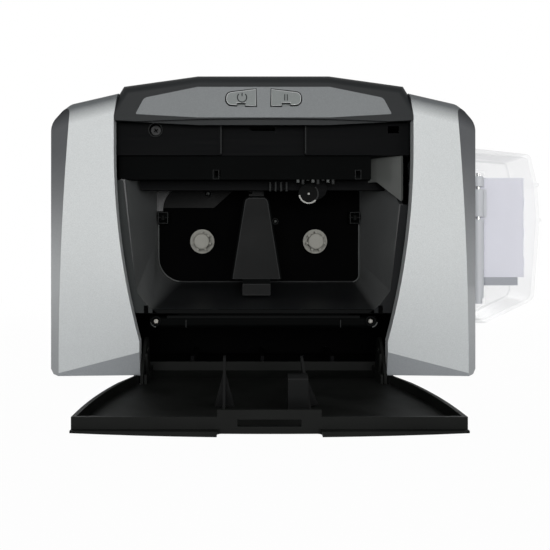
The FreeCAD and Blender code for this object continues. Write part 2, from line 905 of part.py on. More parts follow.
def closed_door():
    low = tail_low - door_gap
    skin = door_side_view(True).common(door_plan(0, low, door_corner_top, door_lip_crown))
    rim_outer = door_plan(0, low, rim_top)
    rim_inner = door_plan(rim_wall, low - overrun, rim_top - rim_wall)
    taper = rim_taper()
    rim = door_side_view(False).common(rim_outer.cut([rim_inner, taper, mirrored(taper)]))
    lip = block(-grip_half, rim_depth - rim_wall, rim_top - rim_wall, grip_half, rim_depth + grip_rise, rim_top)
    radius = opening_top_half ** 2 / (2 * door_crown)
    bulge = rod("z", 0, door_front + radius, radius, 0, cap_top)
    grip_low = door_corner_top + door_lip_crown - grip_depth
    grip = block(-grip_half, -overrun, grip_low, grip_half, door_front_inner + fit_gap, cap_top, rim_wall)
    shelf_back = block(-grip_half, door_front, grip_low - rim_wall, grip_half, rim_depth, grip_low)
    slot_low = (door_front_inner + rim_depth - grip_slot_height) / 2
    slot = block(
        -grip_slot_half,
        slot_low,
        grip_low - 2 * rim_wall,
        grip_slot_half,
        slot_low + grip_slot_height,
        cap_top,
    )
    ear = door_ear()
    arm = door_arm()
    solid = skin.fuse([rim, lip, shelf_back, ear, mirrored(ear), arm, mirrored(arm)])
    hole_radius = hinge_pin_radius + running_gap
    hole = rod("x", pivot_y, pivot_z, hole_radius, -body_half, body_half)
    relief = block(opening_foot_half - door_gap, -overrun, 0, body_half, pivot_y + overrun, door_relief_top)
    return solid.common(bulge).cut([grip, slot, hole, relief, mirrored(relief)]).removeSplitter()


def opened(shape):
    # From the closed position to the photographed one, lying open on the table
    return turned(shape, pivot_y, pivot_z, 90)


def door_fin(side):
    # Upright fin on the inside of the door, a triangle with a rounded tip and a short web across it
    root = door_front_inner
    corners = [
        (root, fin_z - fin_base / 2, 0),
        (root + fin_height, fin_z, fin_tip_radius),
        (root, fin_z + fin_base / 2, 0),
    ]
    middle = fin_half_spacing * side
    fin = prism(corners, "x", middle - fin_thickness / 2, middle + fin_thickness / 2)
    web_plan = [
        (middle - fin_web_half, root, 0),
        (middle + fin_web_half, root, 0),
        (middle, root + fin_web_height, 0),
    ]
    fin = fin.fuse(prism(web_plan, "z", fin_z - fin_thickness / 2, fin_z + fin_thickness / 2))
    if side > 0:
        fin.rotate(FreeCAD.Vector(middle - fin_thickness / 2, root, 0), FreeCAD.Vector(0, 0, 1), fin_lean)
    return opened(fin.common(beyond_door_skin()))


def beyond_door_skin():
    return block(-body_half, door_front_inner, 0, body_half, body_depth, cap_top)


def door_tab():
    # Sprung stop that holds the ribbon cartridge when the door is shut
    root = door_front_inner
    low = tab_z - tab_depth / 2
    high = tab_z + tab_depth / 2
    corners = [
        (root, low, 0),
        (root + tab_height - tab_depth / 2, low, tab_depth / 4),
        (root + tab_height, tab_z, tab_depth / 2),
        (root + tab_height - tab_depth / 3, high, tab_depth / 4),
        (root, high, 0),
    ]
    solid = prism(corners, "x", tab_x - tab_width / 2, tab_x + tab_width / 2)
    front_view = square(
        tab_x - tab_width / 2, root - overrun, tab_x + tab_width / 2, root + tab_height, tab_corner_radius)
    return opened(solid.common(prism(front_view, "z", 0, cap_top)))


def bay_ring(back, grow, run=0):
    # One cross-section of the bay: floor, two rounded floor corners, walls
    if back:
        corners = [
            (-bay_back_left - grow, bay_back_floor_z - grow, bay_left_radius + grow),
            (bay_back_right + grow, bay_back_floor_z - grow, bay_right_radius + grow),
            (bay_back_right + grow, bay_waist_z + bay_left_radius + grow, 0),
            (bay_back_right + grow, bay_top + run, 0),
            (-bay_back_left - grow, bay_top + run, 0),
            (-bay_back_left - grow, bay_waist_z + 2 * bay_left_radius, 0),
        ]
        return ring(corners, "y", bay_back)
    corners = [
        (-bay_floor_half - grow, bay_floor_z - grow, bay_right_radius + grow),
        (bay_floor_half + grow, bay_floor_z - grow, bay_right_radius + grow),
        (bay_waist_half + grow, bay_waist_z, 0),
        (bay_front_half + grow, bay_top + run, 0),
        (-bay_front_half - grow, bay_top + run, 0),
        (-bay_waist_half - grow, bay_waist_z, 0),
    ]
    return ring(corners, "y", bay_front)


def bay_loft(grow, run):
    return Part.makeLoft([bay_ring(False, grow, run), bay_ring(True, grow, run)], True, True)


def bay_liner():
    # Tapered tray that lines the ribbon bay, open to the front, the back and the card path
    liner = bay_loft(bay_wall, 0).cut(bay_loft(0, overrun))
    left = -bay_back_left - bay_wall / 2
    web_corners = [
        (left, bay_web_foot, 0),
        (-bay_web_x, bay_web_foot, 0),
        (-bay_web_x, bay_web_z, bay_web_radius),
        (-bay_web_end, bay_web_z, 0),
        (-bay_web_end, bay_web_top, 0),
        (left, bay_web_top, 0),
    ]
    web_back = plate_y - side_plate_thickness - fit_gap
    web = prism(web_corners, "y", web_back - bay_wall, web_back)
    beam_low = lower_beam_low - fit_gap
    beam_back = lower_beam_front + upper_beam_depth / 2 + fit_gap
    under_beam = block(-body_half, 0, beam_low, body_half, beam_back, cap_top)
    slope_corners = [
        (0, bay_slope_low, 0),
        (bay_front, bay_slope_low, 0),
        (bay_slope_back, beam_low, 0),
        (bay_slope_back, cap_top, 0),
        (0, cap_top, 0),
    ]
    slope = prism(slope_corners, "x", bay_waist_half / 2, body_half)
    return liner.fuse(web).cut([under_beam, slope, card_slot()]).removeSplitter()


def bay_floor(y):
    share = (y - bay_front) / (bay_back - bay_front)
    return bay_floor_z + share * (bay_back_floor_z - bay_floor_z)


def card_slot():
    # Where cards cross from the hopper into the card path
    return block(
        path_plate_half - bay_left_radius,
        card_front - card_slot_play,
        card_path_z - card_slot_half,
        body_half - hopper_wall,
        card_front + card_width + card_slot_play,
        card_path_z + card_slot_half,
    )


def channel(left, right, front, low, top, depth, flange_top):
    # Pressed channel that opens to the back
    web = block(left, front, low, right, front + beam_wall, top)
    under = block(left, front, low, right, front + depth, low + beam_wall)
    pieces = [web, under]
    if flange_top:
        pieces.append(block(left, front, top - beam_wall, right, front + depth, top))
    return fused(pieces)


def upper_crossbeam():
    beam = channel(-beam_half, beam_half, upper_beam_front, upper_beam_low, upper_beam_top, upper_beam_depth, True)
    ribs = []
    for x in (-beam_rib_x, beam_rib_x):
        rib = block(
            x - beam_rib_width / 2,
            upper_beam_front - beam_rib_proud,
            upper_beam_low,
            x + beam_rib_width / 2,
            upper_beam_front + beam_wall,
            upper_beam_top,
        )
        ribs.append(rib)
    panel_half = beam_rib_x - beam_rib_width / 2
    panel_gap = block(-panel_half, 0, upper_beam_low, panel_half, upper_beam_front + beam_wall, upper_beam_top)
    panel_front = upper_beam_front + beam_recess
    panel = block(
        -beam_rib_x, panel_front, upper_beam_low, beam_rib_x, panel_front + beam_wall, upper_beam_top)
    for x in (-beam_rib_x, beam_rib_x):
        ribs.append(block(
            x - beam_rib_width / 2, upper_beam_front, upper_beam_low, x + beam_rib_width / 2,
            panel_front + beam_wall, upper_beam_top))
    well_half = beam_well_radius + beam_well_wall
    well_back = upper_beam_front + beam_well_depth
    well = block(
        -beam_screw_x - well_half, upper_beam_front, beam_screw_z - well_half, well_half - beam_screw_x,
        well_back + beam_well_wall, upper_beam_top)
    slot_top = cap_low - fit_gap
    catch = block(
        -catch_slot_half,
        -overrun,
        slot_top - catch_slot_height,
        catch_slot_half,
        panel_front + beam_wall + fit_gap,
        slot_top,
    )
    pocket = block(
        catch_pocket_left, 0, catch_pocket_low, catch_pocket_right, upper_beam_front + beam_wall + fit_gap,
        upper_beam_top - beam_wall)
    holes = [
        rod("y", -beam_screw_x, beam_screw_z, beam_well_radius, 0, well_back),
        rod("y", -beam_screw_x, beam_screw_z, beam_screw_radius + seat_gap, 0, well_back + overrun),
    ]
    return fused([beam.cut(panel_gap), panel, well] + ribs).cut([catch, pocket] + holes)


def beam_screw():
    # Screw at the bottom of its well in the upper beam, with a cross recess
    x = -beam_screw_x
    z = beam_screw_z
    radius = beam_screw_radius
    head_front = upper_beam_front + beam_well_depth - beam_well_wall
    head = rod("y", x, z, radius, head_front, upper_beam_front + beam_well_depth + beam_well_wall)
    slot_half = radius / 8
    reach = radius / 2
    front = head_front - overrun
    back = head_front + beam_well_wall / 2
    bars = [
        block(x - reach, front, z - slot_half, x + reach, back, z + slot_half),
        block(x - slot_half, front, z - reach, x + slot_half, back, z + reach),
    ]
    return head.cut(bars)


def lower_crossbeam():
    beam = channel(
        -lower_beam_left,
        lower_beam_right,
        lower_beam_front,
        lower_beam_low,
        upper_beam_low,
        upper_beam_depth / 2,
        True,
    )
    cuts = []
    for x in beam_notch_places:
        notch = block(
            x - beam_notch_width / 2,
            0,
            lower_beam_low + beam_wall,
            x + beam_notch_width / 2,
            lower_beam_front + beam_wall + fit_gap,
            lower_beam_low + beam_wall + beam_notch_height,
        )
        cuts.append(notch)
    return beam.cut(cuts)


def inner_guard():
    # Bent sheet from the front of the opening back to the card path, cut off along a slope below
    bends = ((guard_left, guard_back), (guard_bend_x, guard_bend_y), (guard_right, guard_front))
    plan = [(x, y, 0) for x, y in bends]
    plan += [(x + guard_shift_x, y + guard_shift_y, 0) for x, y in reversed(bends)]
    sheet = prism(plan, "z", 0, guard_top)
    side_view = [
        (guard_front, guard_low_right, 0),
        (guard_bend_y, guard_low_left, 0),
        (guard_back + overrun, guard_low_left, 0),
        (guard_back + overrun, guard_top, 0),
        (guard_front, guard_top, 0),
    ]
    return sheet.common(prism(side_view, "x", 0, body_half))


def front_cross_bar():
    profile = square(bar_front, bar_low, bar_front + bar_depth, bar_top, bar_radius)
    bar = prism(profile, "x", -bar_half, bar_half)
    web_front = bar_front + bar_depth - bar_web_depth
    web_top = bay_floor(web_front) - bay_wall - fit_gap
    web = block(-bar_web_half, web_front, bar_top - bar_radius, bar_web_half, bar_front + bar_depth, web_top)
    bar = bar.fuse(web)
    outer = prism(profile, "x", -bar_half, bar_half)
    cuts = []
    for x in (-bar_seam_x, bar_seam_x):
        inner = prism(
            square(bar_front + bar_seam_width, bar_low + bar_seam_width, web_front, bar_top - bar_seam_width),
            "x",
            x - bar_seam_width,
            x + bar_seam_width,
        )
        band = outer.common(block(
            x - bar_seam_width / 2,
            0,
            bar_low,
            x + bar_seam_width / 2,
            web_front,
            bar_top,
        ))
        cuts.append(band.cut(inner))
    for x in (-bar_pin_x, bar_pin_x):
        cuts.append(rod("y", x, bar_pin_z, bar_pin_radius + seat_gap, 0, bar_front + bar_pin_length))
    return bar.cut(cuts)


def bar_pin(side):
    pin = rod("y", bar_pin_x * side, bar_pin_z, bar_pin_radius, bar_front - bar_pin_proud, bar_front + bar_pin_length)
    front_edges = [edge for edge in pin.Edges if edge.BoundBox.YMax < bar_front]
    return pin.makeChamfer(bar_pin_proud / 2, front_edges)


def drive_plate():
    plate = block(-plate_half, plate_y, base_top, plate_half, plate_back, plate_top, pan_rim)
    holes = []
    for x, z in ((supply_x, ribbon_z), (takeup_x, ribbon_z), (platen_x, platen_z), (feed_roller_x, feed_roller_z)):
        holes.append(rod("y", x, z, shaft_radius + running_gap, 0, body_depth))
    return plate.cut(holes)


def ribbon_side_plate():
    corners = [
        (-side_plate_left, side_plate_low, 0),
        (-side_plate_knee, side_plate_low, 0),
        (-side_plate_right, side_plate_step_z, 0),
        (-side_plate_right, side_plate_top, 0),
        (-side_plate_left, side_plate_top, 0),
    ]
    plate = prism(corners, "y", plate_y - side_plate_thickness, plate_y)
    screw = rod("y", -side_plate_screw_x, side_plate_screw_z, plate_screw_radius, 0, body_depth)
    return plate.cut(screw)


def spindle(x):
    # Ribbon hub with driving splines on its shaft
    hub_back = plate_y - side_plate_thickness - spindle_gap
    flange_front = hub_back - hub_flange
    tip = flange_front - hub_length
    shaft = rod("y", x, ribbon_z, shaft_radius, flange_front, gear_back + gear_hub_length)
    flange = rod("y", x, ribbon_z, hub_flange_radius, flange_front, hub_back)
    hub = rod("y", x, ribbon_z, hub_radius, tip, hub_back)
    end_edges = [edge for edge in hub.Edges if edge.BoundBox.YMax < tip + seat_gap]
    hub = hub.makeFillet(hub_cap_radius, end_edges)
    pieces = [flange, hub, shaft]
    for i in range(spline_count):
        turn = 360 * i / spline_count
        spline = block(
            x - spline_width / 2,
            tip + hub_cap_radius,
            ribbon_z + hub_radius - spline_width,
            x + spline_width / 2,
            hub_back,
            ribbon_z + hub_radius + spline_height,
        )
        spline.rotate(FreeCAD.Vector(x, 0, ribbon_z), FreeCAD.Vector(0, 1, 0), turn)
        pieces.append(spline)
    return fused(pieces)


def involute(angle):
    return math.tan(angle) - angle


def gear(x, z, teeth, phase, bore, hub_radius_here):
    # Spur gear with involute flanks; phase is the direction of the middle of one tooth
    pitch_radius = gear_module * teeth / 2
    pressure = math.radians(pressure_angle)
    base_radius = pitch_radius * math.cos(pressure)
    tip_radius = pitch_radius + gear_module
    root_radius = pitch_radius - root_share * gear_module
    half_pitch = math.pi / (2 * teeth) - tooth_backlash / (2 * pitch_radius)
    flank = []
    for share in (0, 1 / 2, 1):
        start_radius = max(base_radius, root_radius)
        radius = start_radius + share * (tip_radius - start_radius)
        lean = math.acos(min(1, base_radius / radius))
        flank.append((radius, half_pitch + involute(pressure) - involute(lean)))
    outline = []
    for i in range(teeth):
        middle = phase + 2 * math.pi * i / teeth
        outline.append((root_radius, middle - flank[0][1]))
        outline += [(radius, middle - half) for radius, half in flank]
        outline += [(radius, middle + half) for radius, half in reversed(flank)]
        outline.append((root_radius, middle + flank[0][1]))
    corners = []
    for radius, angle in outline:
        corners.append((x + radius * math.cos(angle), z + radius * math.sin(angle), 0))
    wheel = prism(corners, "y", gear_y, gear_back)
    hub = rod("y", x, z, hub_radius_here, gear_y, gear_back + gear_hub_length)
    hole = rod("y", x, z, bore, 0, body_depth)
    return wheel.fuse(hub).cut(hole)


def heading(start, end):
    return math.atan2(end[1] - start[1], end[0] - start[0])


def meshing_phase(phase, teeth, driven_teeth, direction):
    # Phase of a gear that meets the first one tooth in gap along the line of their centres
    pitch = 2 * math.pi / teeth
    offset = (phase - direction + pitch / 2) % pitch - pitch / 2
    return direction + math.pi - offset * teeth / driven_teeth + math.pi / driven_teeth


takeup_axis = (takeup_x, ribbon_z)
ribbon_reach = gear_module * (takeup_teeth + ribbon_pinion_teeth) / 2
ribbon_direction = math.radians(ribbon_motor_angle)
ribbon_motor_axis = (
    takeup_x + ribbon_reach * math.cos(ribbon_direction),
    ribbon_z + ribbon_reach * math.sin(ribbon_direction),
)
platen_axis = (platen_x, platen_z)
feed_roller_axis = (feed_roller_x, feed_roller_z)
feed_reach = gear_module * (roller_teeth + feed_pinion_teeth) / 2
roller_span = math.hypot(feed_roller_x - platen_x, feed_roller_z - platen_z)
roller_heading = heading(platen_axis, feed_roller_axis)
pinion_turn = roller_heading + math.acos(roller_span / 2 / feed_reach)
feed_motor_axis = (
    platen_x + feed_reach * math.cos(pinion_turn),
    platen_z + feed_reach * math.sin(pinion_turn),
)


def wheel_on_shaft(axis, teeth, phase):
    return gear(axis[0], axis[1], teeth, phase, shaft_radius + seat_gap, gear_hub_radius)


def takeup_gear():
    return wheel_on_shaft(takeup_axis, takeup_teeth, ribbon_direction)


def pinion(axis, teeth, phase):
    # Pinion and motor shaft in one piece
    wheel = gear(axis[0], axis[1], teeth, phase, motor_shaft_radius, gear_module * teeth / 4)
    shaft = rod("y", axis[0], axis[1], motor_shaft_radius, gear_y, motor_front() + motor_length / 3)
    return wheel.fuse(shaft)


def ribbon_pinion():
    phase = meshing_phase(ribbon_direction, takeup_teeth, ribbon_pinion_teeth, ribbon_direction)
    return pinion(ribbon_motor_axis, ribbon_pinion_teeth, phase)


def feed_pinion_phase():
    return heading(feed_motor_axis, platen_axis)


def feed_pinion():
    return pinion(feed_motor_axis, feed_pinion_teeth, feed_pinion_phase())


def roller_gear(axis):
    phase = meshing_phase(
        feed_pinion_phase(), feed_pinion_teeth, roller_teeth, heading(feed_motor_axis, axis))
    return wheel_on_shaft(axis, roller_teeth, phase)


def motor_front():
    return gear_back + gear_hub_length + motor_gap


def motor(axis, toward):
    # Motor can on two posts that stand on the drive plate, with its terminals behind
    x, z = axis
    front = motor_front()
    can = rod("y", x, z, motor_radius, front, front + motor_length)
    can = can.makeFillet(motor_post_inset / 2, [edge for edge in can.Edges if edge.Length > motor_radius * 6])
    boss = rod("y", x, z, motor_boss_radius, front - motor_boss / 2, front)
    across = toward + math.pi / 2
    reach = motor_radius - motor_post_inset
    pieces = [can, boss]
    for side in (-1, 1):
        post_x = x + side * reach * math.cos(across)
        post_z = z + side * reach * math.sin(across)
        pieces.append(rod("y", post_x, post_z, motor_post_radius, plate_back, front + motor_post_inset))
    back = front + motor_length
    for side in (-1, 1):
        tab_middle = x + side * motor_radius / 2
        pieces.append(block(
            tab_middle - motor_post_radius,
            back - motor_post_inset,
            z - motor_boss / 4,
            tab_middle + motor_post_radius,
            back + motor_boss * 2,
            z + motor_boss / 4,
        ))
    bore = rod("y", x, z, motor_shaft_radius + running_gap, 0, front + motor_length / 3 + fit_gap)
    return fused(pieces).cut(bore)


def encoder_disc():
    # Slotted disc that tells how far the supply side has turned
    disc = rod("y", supply_x, ribbon_z, encoder_radius, gear_back - encoder_thickness, gear_back)
    hub = rod("y", supply_x, ribbon_z, gear_hub_radius, gear_y, gear_back + gear_hub_length)
    slots = []
    for i in range(encoder_slots):
        slot = block(
            supply_x - encoder_slot_width / 2,
            gear_y,
            ribbon_z + gear_hub_radius + encoder_slot_width,
            supply_x + encoder_slot_width / 2,
            gear_back + fit_gap,
            ribbon_z + encoder_radius - encoder_thickness,
        )
        slot.rotate(FreeCAD.Vector(supply_x, 0, ribbon_z), FreeCAD.Vector(0, 1, 0), 360 * i / encoder_slots)
        slots.append(slot)
    bore = rod("y", supply_x, ribbon_z, shaft_radius + seat_gap, 0, body_depth)
    return disc.fuse(hub).cut(slots + [bore])


def roller(axis, radius):
    # Rubber-covered roller on a through shaft, with a collar at its front end
    x, z = axis
    back = plate_y - spindle_gap
    front = roller_front
    body = rod("y", x, z, radius, front + roller_collar, back)
    shaft = rod("y", x, z, shaft_radius, path_plate_y, gear_back + gear_hub_length)
    collar = rod("y", x, z, (radius + shaft_radius) / 2, front, front + roller_collar)
    return fused([body, shaft, collar])


def card_path_plate():
    # Front side plate of the card path, with the front bearings of both rollers
    back = path_plate_y + path_plate_thickness
    plate = block(
        -path_plate_half, path_plate_y, path_plate_low, path_plate_half, back, upper_beam_low - fit_gap)
    window = block(
        -path_plate_half + bay_left_radius,
        0,
        upper_beam_low - bay_left_radius / 2,
        platen_x - bay_left_radius,
        body_depth,
        upper_beam_low,
    )
    holes = []
    for axis in (platen_axis, feed_roller_axis):
        holes.append(rod("y", axis[0], axis[1], shaft_radius + running_gap, 0, body_depth))
    ledge = block(
        -path_plate_half,
        back - seat_gap,
        path_plate_low,
        path_plate_half,
        card_front - fit_gap,
        path_plate_low + path_plate_thickness,
    )
    knob_front = path_plate_y - path_knob_length
    knob = rod("y", path_knob_x, path_knob_z, path_knob_radius, knob_front + path_knob_step, back)
    knob_face = rod("y", path_knob_x, path_knob_z, path_knob_radius - path_knob_step, knob_front, back)
    return fused([plate.cut(window), ledge, knob, knob_face]).cut(holes)


def head_tower():
    # Tapered arm that carries the print head out from the drive plate
    corners = [
        (tower_x - tower_base_half, tower_base_z, 0),
        (tower_x + tower_base_half, tower_base_z, 0),
        (tower_x + tower_top_half, tower_top_z, tower_radius),
        (tower_x - tower_top_half, tower_top_z, tower_radius),
    ]
    solid = prism(corners, "y", tower_front, plate_y)
    front_edges = [edge for edge in solid.Edges if edge.BoundBox.YMax < tower_front + seat_gap
                   and edge.BoundBox.ZMax > tower_base_z + tower_radius]
    solid = solid.makeChamfer(tower_radius / 4, front_edges)
    hollow_low = tower_base_z - overrun
    hollow = [
        (tower_x - tower_base_half + tower_radius / 2, hollow_low, 0),
        (tower_x + tower_base_half - tower_radius / 2, hollow_low, 0),
        (tower_x + tower_top_half - tower_radius / 2, tower_top_z - tower_radius, 0),
        (tower_x - tower_top_half + tower_radius / 2, tower_top_z - tower_radius, 0),
    ]
    return solid.cut(prism(hollow, "y", tower_front + tower_radius, plate_y - tower_radius))


def print_head():
    # Thermal head with its raised printing line
    left = tower_x - head_width / 2
    right = tower_x + head_width / 2
    front = tower_front + tower_radius / 2
    top = tower_top_z + head_height
    head = block(left, front, tower_top_z, right, plate_y - tower_radius / 2, top)
    line_left = tower_x - head_line_width / 2
    line = block(
        line_left, front, top, line_left + head_line_width, plate_y - tower_radius / 2, top + head_line_height)
    fins = []
    fin_pitch = head_height / 4
    for i in range(1, 4):
        z = tower_top_z + i * fin_pitch
        fins.append(block(
            left, front - overrun, z - fin_pitch / 4, left + fin_pitch, body_depth, z + fin_pitch / 4))
    return fused([head, line]).cut(fins)


def tower_clip():
    # Catch on the bay floor that the front of the tower rests on
    front = tower_front - tower_clip_depth / 2
    back = front + tower_clip_depth
    corners = [
        (front, bay_floor(back) + seat_gap, 0),
        (back, bay_floor(back) + seat_gap, 0),
        (back, tower_base_z, 0),
        (front + tower_clip_depth / 3, tower_base_z, tower_clip_depth / 6),
        (front, tower_base_z - tower_clip_height / 2, 0),
    ]
    return prism(corners, "x", tower_x - tower_clip_half, tower_x + tower_clip_half)


def bay_clip(side):
    # Spring catch for the ribbon cartridge, on the drive plate beside the bay wall
    wall = bay_back_left if side < 0 else bay_back_right
    outer = wall - fit_gap
    inner = outer - bay_clip_width
    low = bay_clip_z - bay_clip_height / 2
    high = bay_clip_z + bay_clip_height / 2
    back = plate_y if side > 0 else plate_y - side_plate_thickness
    front = plate_y - bay_clip_width
    corners = [
        (front, bay_clip_z, bay_clip_thickness / 4),
        (back, low, 0),
        (back, high, 0),
        (front + bay_clip_thickness, high, 0),
    ]
    clip = prism(corners, "x", inner, outer)
    return clip if side > 0 else mirrored(clip)


def pan_plan():
    # Plan of the base pan's left half is the mirror of this right half
    front = lower_facet_depth + shell_wall + 2 * fit_gap
    side = body_half - shell_wall - fit_gap
    length = math.hypot(body_half - facet_foot_x, facet_depth)
    normal_x = facet_depth / length
    normal_y = -(body_half - facet_foot_x) / length
    reach = facet_foot_x * normal_x - shell_wall - fit_gap
    front_x = (reach - front * normal_y) / normal_x
    side_y = (reach - side * normal_x) / normal_y
    right = [(front_x, front, 0), (side, side_y, 0), (side, shell_depth, 0)]
    left = [(-x, y, radius) for x, y, radius in reversed(right)]
    return left + right


def base_pan():
    plate = prism(pan_plan(), "z", foot_height, base_top)
    inner = []
    middle_y = body_depth / 2
    for x, y, radius in pan_plan():
        inner.append((x * (1 - pan_thickness / body_half), middle_y + (y - middle_y) * (1 - pan_thickness / middle_y), 0))
    rim = prism(pan_plan(), "z", base_top, base_top + pan_rim).cut(
        prism(inner, "z", 0, cap_top))
    pieces = [plate, rim]
    for x in pan_rib_places:
        pieces.append(block(
            x - pan_thickness / 2, notch_depth, base_top, x + pan_thickness / 2, plate_y, base_top + pan_rib_height))
    for x in (-1, 1):
        for y in (-1, 1):
            post_x = x * (board_width / 2 - board_post_radius * 2)
            post_y = board_middle_y() + y * (board_depth / 2 - board_post_radius * 2)
            pieces.append(rod("z", post_x, post_y, board_post_radius, base_top, base_top + board_lift))
    notch_half = opening_foot_half + shell_wall + fit_gap
    notch = block(-notch_half, -overrun, 0, notch_half, notch_depth, cap_top)
    return fused(pieces).cut(notch)


def board_middle_y():
    return shell_depth - board_depth / 2 - pan_thickness * 2


def rubber_foot(x_side, y_side):
    x = x_side * (front_foot_x if y_side < 0 else body_half - foot_inset_x)
    y = front_foot_y if y_side < 0 else body_depth - foot_inset_y
    foot = Part.makeCone(foot_radius - foot_recess, foot_radius, foot_height, FreeCAD.Vector(x, y, 0))
    dimple = rod("z", x, y, foot_radius / 2, -overrun, foot_recess)
    return foot.cut(dimple)


def hinge_bracket():
    # Stands on the base pan and holds the door's hinge pin
    low = base_top
    outer = bracket_x + bracket_thickness
    corners = [
        (pivot_y - bracket_foot / 2 - bracket_radius / 2, low, 0),
        (pivot_y + bracket_foot, low, 0),
        (pivot_y + bracket_radius, pivot_z + bracket_radius, bracket_corner_radius),
        (pivot_y - bracket_radius, pivot_z + bracket_radius, bracket_corner_radius),
    ]
    plate = prism(corners, "x", bracket_x, outer)
    foot = block(bracket_x, pivot_y - bracket_radius, low, outer + bracket_foot, pivot_y + bracket_radius,
                 low + bracket_thickness)
    boss_inner = opening_foot_half - door_gap + slide_gap
    boss = rod("x", pivot_y, pivot_z, hinge_boss_radius, boss_inner, outer)
    hole = rod("x", pivot_y, pivot_z, hinge_pin_radius + seat_gap, 0, body_half)
    return fused([plate, foot, boss]).cut(hole)


def door_hinge_pin():
    inner = opening_foot_half - door_gap - ear_thickness
    pin = rod("x", pivot_y, pivot_z, hinge_pin_radius, inner, inner + hinge_pin_length)
    edges = [edge for edge in pin.Edges if edge.Length > 2 * math.pi * hinge_pin_radius - seat_gap]
    return pin.makeChamfer(hinge_pin_radius / 8, edges)


def main_board():
    left = -board_width / 2
    front = board_middle_y() - board_depth / 2
    low = base_top + board_lift
    board = block(left, front, low, -left, front + board_depth, low + board_thickness)
    top = low + board_thickness
    pieces = [board]
    for share in (1 / 5, 1 / 2, 4 / 5):
        x = left + board_width * share
        y = board_middle_y()
        pieces.append(block(
            x - chip_size / 2, y - chip_size / 2, top, x + chip_size / 2, y + chip_size / 2, top + chip_height))
    return fused(pieces)


def power_jack():
    back = body_depth
    half = jack_housing / 2
    housing = block(jack_x - half, back - jack_depth, socket_z - half, jack_x + half, back - rear_wall, socket_z + half)
    collar = rod("y", jack_x, socket_z, jack_radius + jack_wall, back - jack_depth, back)
    hole = rod("y", jack_x, socket_z, jack_radius - jack_wall, back - jack_depth + jack_radius / 2, back + overrun)
    pin = rod("y", jack_x, socket_z, jack_radius / 4, back - jack_depth, back - rear_wall / 2)
    return fused([housing, collar]).cut(hole).fuse(pin)


def usb_port():
    back = body_depth
    half = usb_width / 2
    high = usb_height / 2
    shell = block(usb_x - half, back - usb_depth, socket_z - high, usb_x + half, back, socket_z + high)
    inner = block(usb_x - half + usb_wall, back - usb_depth + usb_wall, socket_z - high + usb_wall,
                  usb_x + half - usb_wall, back + overrun, socket_z + high - usb_wall)
    tongue_half = usb_tongue / 2
    tongue = block(usb_x - tongue_half, back - usb_depth, socket_z - tongue_half / 2, usb_x + tongue_half,
                   back - usb_wall, socket_z + tongue_half / 2)
    return shell.cut(inner).fuse(tongue)


def rear_cover():
    # Back wall with louvres and holes for the sockets
    half = prism(body_outline(0, foot_height), "y", body_depth - rear_wall, body_depth)
    under_cap = block(-overrun, 0, cap_side_low, opening_top_half, body_depth + overrun, cap_top + overrun)
    half = half.cut(under_cap.cut(lean_wedge()))
    wall = half.fuse(mirrored(half)).removeSplitter()
    roof = prism(cap_outline(0, 0), "y", body_depth - rear_wall, body_depth)
    wall = wall.fuse(roof).removeSplitter()
    cuts = []
    for side in (-1, 1):
        for i in range(vent_count):
            z = vent_z + i * vent_pitch
            middle = side * vent_x
            cuts.append(block(
                middle - vent_width / 2, 0, z, middle + vent_width / 2, body_depth + overrun, z + vent_height,
                vent_height / 3))
    cuts.append(rod("y", jack_x, socket_z, jack_radius + jack_wall + fit_gap, 0, body_depth + overrun))
    cuts.append(block(
        usb_x - usb_width / 2 - fit_gap, 0, socket_z - usb_height / 2 - fit_gap,
        usb_x + usb_width / 2 + fit_gap, body_depth + overrun, socket_z + usb_height / 2 + fit_gap))
    cuts.append(block(
        lock_x - lock_width / 2, 0, socket_z - lock_height / 2,
        lock_x + lock_width / 2, body_depth + overrun, socket_z + lock_height / 2, lock_height / 3))
    for side in (-1, 1):
        for z in (foot_height + rear_screw_inset, shoulder_z - rear_screw_inset):
            cuts.append(rod(
                "y", side * (body_half - rear_screw_inset), z, rear_screw_radius,
                body_depth - rear_wall / 2, body_depth + overrun))
    return wall.cut(cuts)


def switch_board():
    # Small board behind the buttons, on two posts from the cap's front wall
    front = cap_setback + button_reach + button_travel + slide_gap
    half = button_inner_x + button_length + 2 * inlay_thickness
    board = block(-half, front, button_low - foot_chamfer, half, front + board_thickness, button_inner_top + foot_chamfer)
    pieces = [board]
    post_radius = button_inner_x / 3
    for z in (button_low + post_radius, button_inner_top - post_radius):
        pieces.append(rod("y", 0, z, post_radius, cap_setback + cap_wall, front))
    return fused(pieces)


def hopper_outline(inset, left):
    # Front view of the hopper, bulging a little at its waist
    outer = hopper_outer - inset
    foot_z = hopper_low + hopper_foot_rise
    return [
        (left, hopper_low + inset, 0),
        (outer - hopper_foot_lean - hopper_foot_run, hopper_low + inset, hopper_corner_radius),
        (outer - hopper_foot_lean, foot_z + inset / 2, hopper_corner_radius),
        (outer, hopper_waist_z, hopper_bulge_radius),
        (outer - hopper_shoulder_lean, hopper_shoulder_z, hopper_bulge_radius),
        (outer - hopper_head_lean, hopper_top - hopper_head_drop - inset, hopper_corner_radius / 2),
        (left, hopper_top - inset, 0),
    ]


def knuckles(spans, arm_side):
    # Hinge knuckles on the upright barrel with the web that carries them
    pieces = []
    for low, high in spans:
        pieces.append(rod("z", barrel_x, barrel_y, barrel_radius, low, high))
        ends = sorted((barrel_x, barrel_x + arm_side * (barrel_radius + knuckle_reach)))
        if arm_side < 0:
            ends[0] = body_half - hopper_wall
        pieces.append(block(ends[0], hopper_front, low, ends[1], hopper_front + hopper_wall, high))
    return pieces


def barrel_bore(gap):
    return rod("z", barrel_x, barrel_y, hopper_pin_radius + gap, 0, cap_top)


